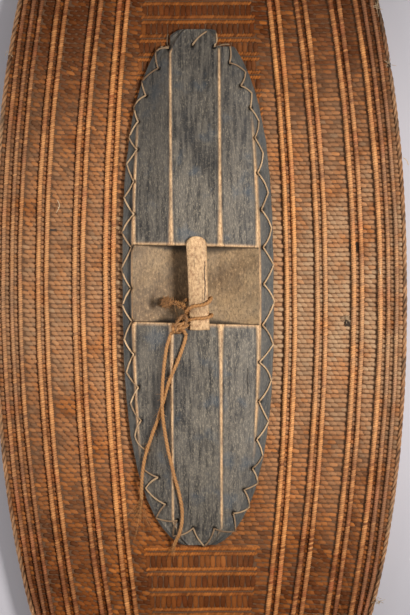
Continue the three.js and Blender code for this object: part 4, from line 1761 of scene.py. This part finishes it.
class Studio:
    """Camera, floor and lights."""

    def camera(self) -> None:
        """Look straight down on the grip side with both ends out of the frame."""
        data = bpy.data.cameras.new("camera")
        data.sensor_width = 36.0
        data.lens = data.sensor_width * VIEW_DISTANCE / VIEW_HIGH
        made = put("camera", data)
        made.location = Vector((*VIEW_MIDDLE, VIEW_DISTANCE + VIEW_AIM_HIGH)) * MM
        made.rotation_euler = (0, 0, VIEW_ROLL)
        bpy.context.scene.camera = made

    def floor(self) -> None:
        """Lay the plain pale floor, a little under the shield."""
        made, tree, shader = new_material("pale_floor")
        paper = tree.mix(tree.noise(tree.where(), 3.0), (196, 192, 197), (204, 200, 204))
        tree.fill(shader, {"Base Color": paper})
        shader.inputs["Roughness"].default_value = 0.9
        edge = np.linspace(-FLOOR_HALF, FLOOR_HALF, 9)
        x, y = np.meshgrid(edge, edge)
        skin = Skin()
        skin.grid(np.stack([x, y, x * 0 - FLOOR_DEPTH], axis=-1))
        put("floor", skin.mesh("floor", made))

    def light(
        self, name: str, at: tuple, aim: tuple, size: float, power: float, warm: float, spread: float
    ) -> None:
        """Hang one soft light.

        Args:
            name: Its name.
            at: Where it hangs, in metres.
            aim: The point it faces.
            size: Its side, in metres.
            power: Its power in watts.
            warm: 1 for white, less for a warmer light.
            spread: How wide its beam is, in degrees.
        """
        data = bpy.data.lights.new(name, "AREA")
        data.size, data.energy, data.spread = size, power, math.radians(spread)
        data.color = (1.0, warm, warm**2)
        made = put(name, data)
        made.location = at
        made.rotation_euler = (Vector(aim) - Vector(at)).to_track_quat("-Z", "Y").to_euler()

    def build(self) -> None:
        """Set up everything but the camera."""
        self.floor()
        self.light("key", (1.15, 0.0, 1.75), (0.06, -0.03, 0.0), 0.5, 2.9, 0.985, 40.0)
        self.light("fill", (-1.3, -0.2, 1.5), (0.0, 0.0, 0.0), 1.2, 5.6, 1.0, 180.0)
        self.light("low", (-1.6, -0.1, 0.42), (-0.2, 0.0, 0.0), 0.5, 11.5, 1.0, 180.0)
        world = bpy.data.worlds.new("studio")
        world.use_nodes = True
        glow = world.node_tree.nodes["Background"].inputs
        glow["Color"].default_value, glow["Strength"].default_value = (0.97, 0.97, 1.0, 1.0), 0.19
        bpy.context.scene.world = world
        bpy.context.scene.view_settings.view_transform = "Standard"


def finishes() -> dict[str, bpy.types.Material]:
    """Make every finish.

    Returns:
        The materials by name.
    """
    dust_and_shade, streaks = dust_and_shade_group(), streak_group()
    even = (400.0, 400.0, 400.0)
    kinds = (
        RaffiaFinish(
            "raffia_weave", (84, 38, 10), (188, 108, 46), (132, 62, 24), dirt=(36, 18, 7), bump=0.7,
            gloss=0.04, blotch=0.3,
        ),
        RaffiaFinish("raffia_core", (84, 54, 34), (112, 76, 50), (88, 56, 36), rough=0.9),
        RaffiaFinish(
            "rod_wrap", (122, 62, 26), (226, 150, 86), (186, 98, 56), stretch=(160.0, 1500.0, 700.0),
            bump=0.6, blotch=0.6, gloss=0.2,
        ),
        RaffiaFinish("rim_raffia", (58, 36, 22), (186, 132, 88), (116, 62, 34), stretch=even, gloss=0.2),
        RaffiaFinish("lacing_thong", (104, 80, 58), (208, 172, 130), (146, 114, 86), stretch=even),
        RaffiaFinish("bast_cord", (84, 52, 24), (206, 142, 80), (134, 82, 42), stretch=even),
        # torn_raffia's painted shade is the near black of the holes' lining
        RaffiaFinish("torn_raffia", (96, 70, 48), (222, 196, 158), (180, 140, 100), dirt=(16, 11, 8)),
    )
    wood = WoodFinish()
    made = {kind.name: kind.material(dust_and_shade, streaks) for kind in kinds}
    return made | {wood.name: wood.material(split_group())}


def main() -> None:
    """Build the shield and its studio in order."""
    logging.basicConfig(level=logging.INFO, format="%(message)s")
    studio = Studio()
    studio.camera()
    finish = finishes()
    weave, bast = finish["raffia_weave"], finish["bast_cord"]
    form, board = ShieldForm(), GripBoardForm()
    carved, ground = GripBoard(board), Ground(form, board)
    cord = BarCord(carved, ground)
    left = cord.tail("cord_strand_left", TAIL_LEFT, 34.0, bast)
    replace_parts(left, "cord_tail_left")
    right = cord.tail("cord_strand_right", TAIL_RIGHT, 14.0, bast)
    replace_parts(right, "cord_tail_right")
    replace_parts(cord.lashing(bast), "cord_lashing")
    lacing = EdgeLacing(ground)
    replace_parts(carved.build(lacing.holes(), finish["patinated_wood"]), "grip_board")
    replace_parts(lacing.build(finish["lacing_thong"]), "lacing")
    damage = Damage(ground)
    damage.build(finish["torn_raffia"])
    sheet = WovenSheet(form, board, damage)
    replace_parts(sheet.sheet_core(finish["raffia_core"]), "woven_body")
    sheet.bands(weave)
    sheet.outer_side(weave)
    for side in Side:
        sheet.grip_side(side, weave)
        rods = WrappedRods(form).build(side, finish["rod_wrap"])
        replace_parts(rods, *[f"rib_{side.name.lower()}_{n}" for n in range(1, 10)])
    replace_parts(RimPlait(form).build(finish["rim_raffia"]), "rim_binding")
    studio.build()


if __name__ == "__main__":
    main()
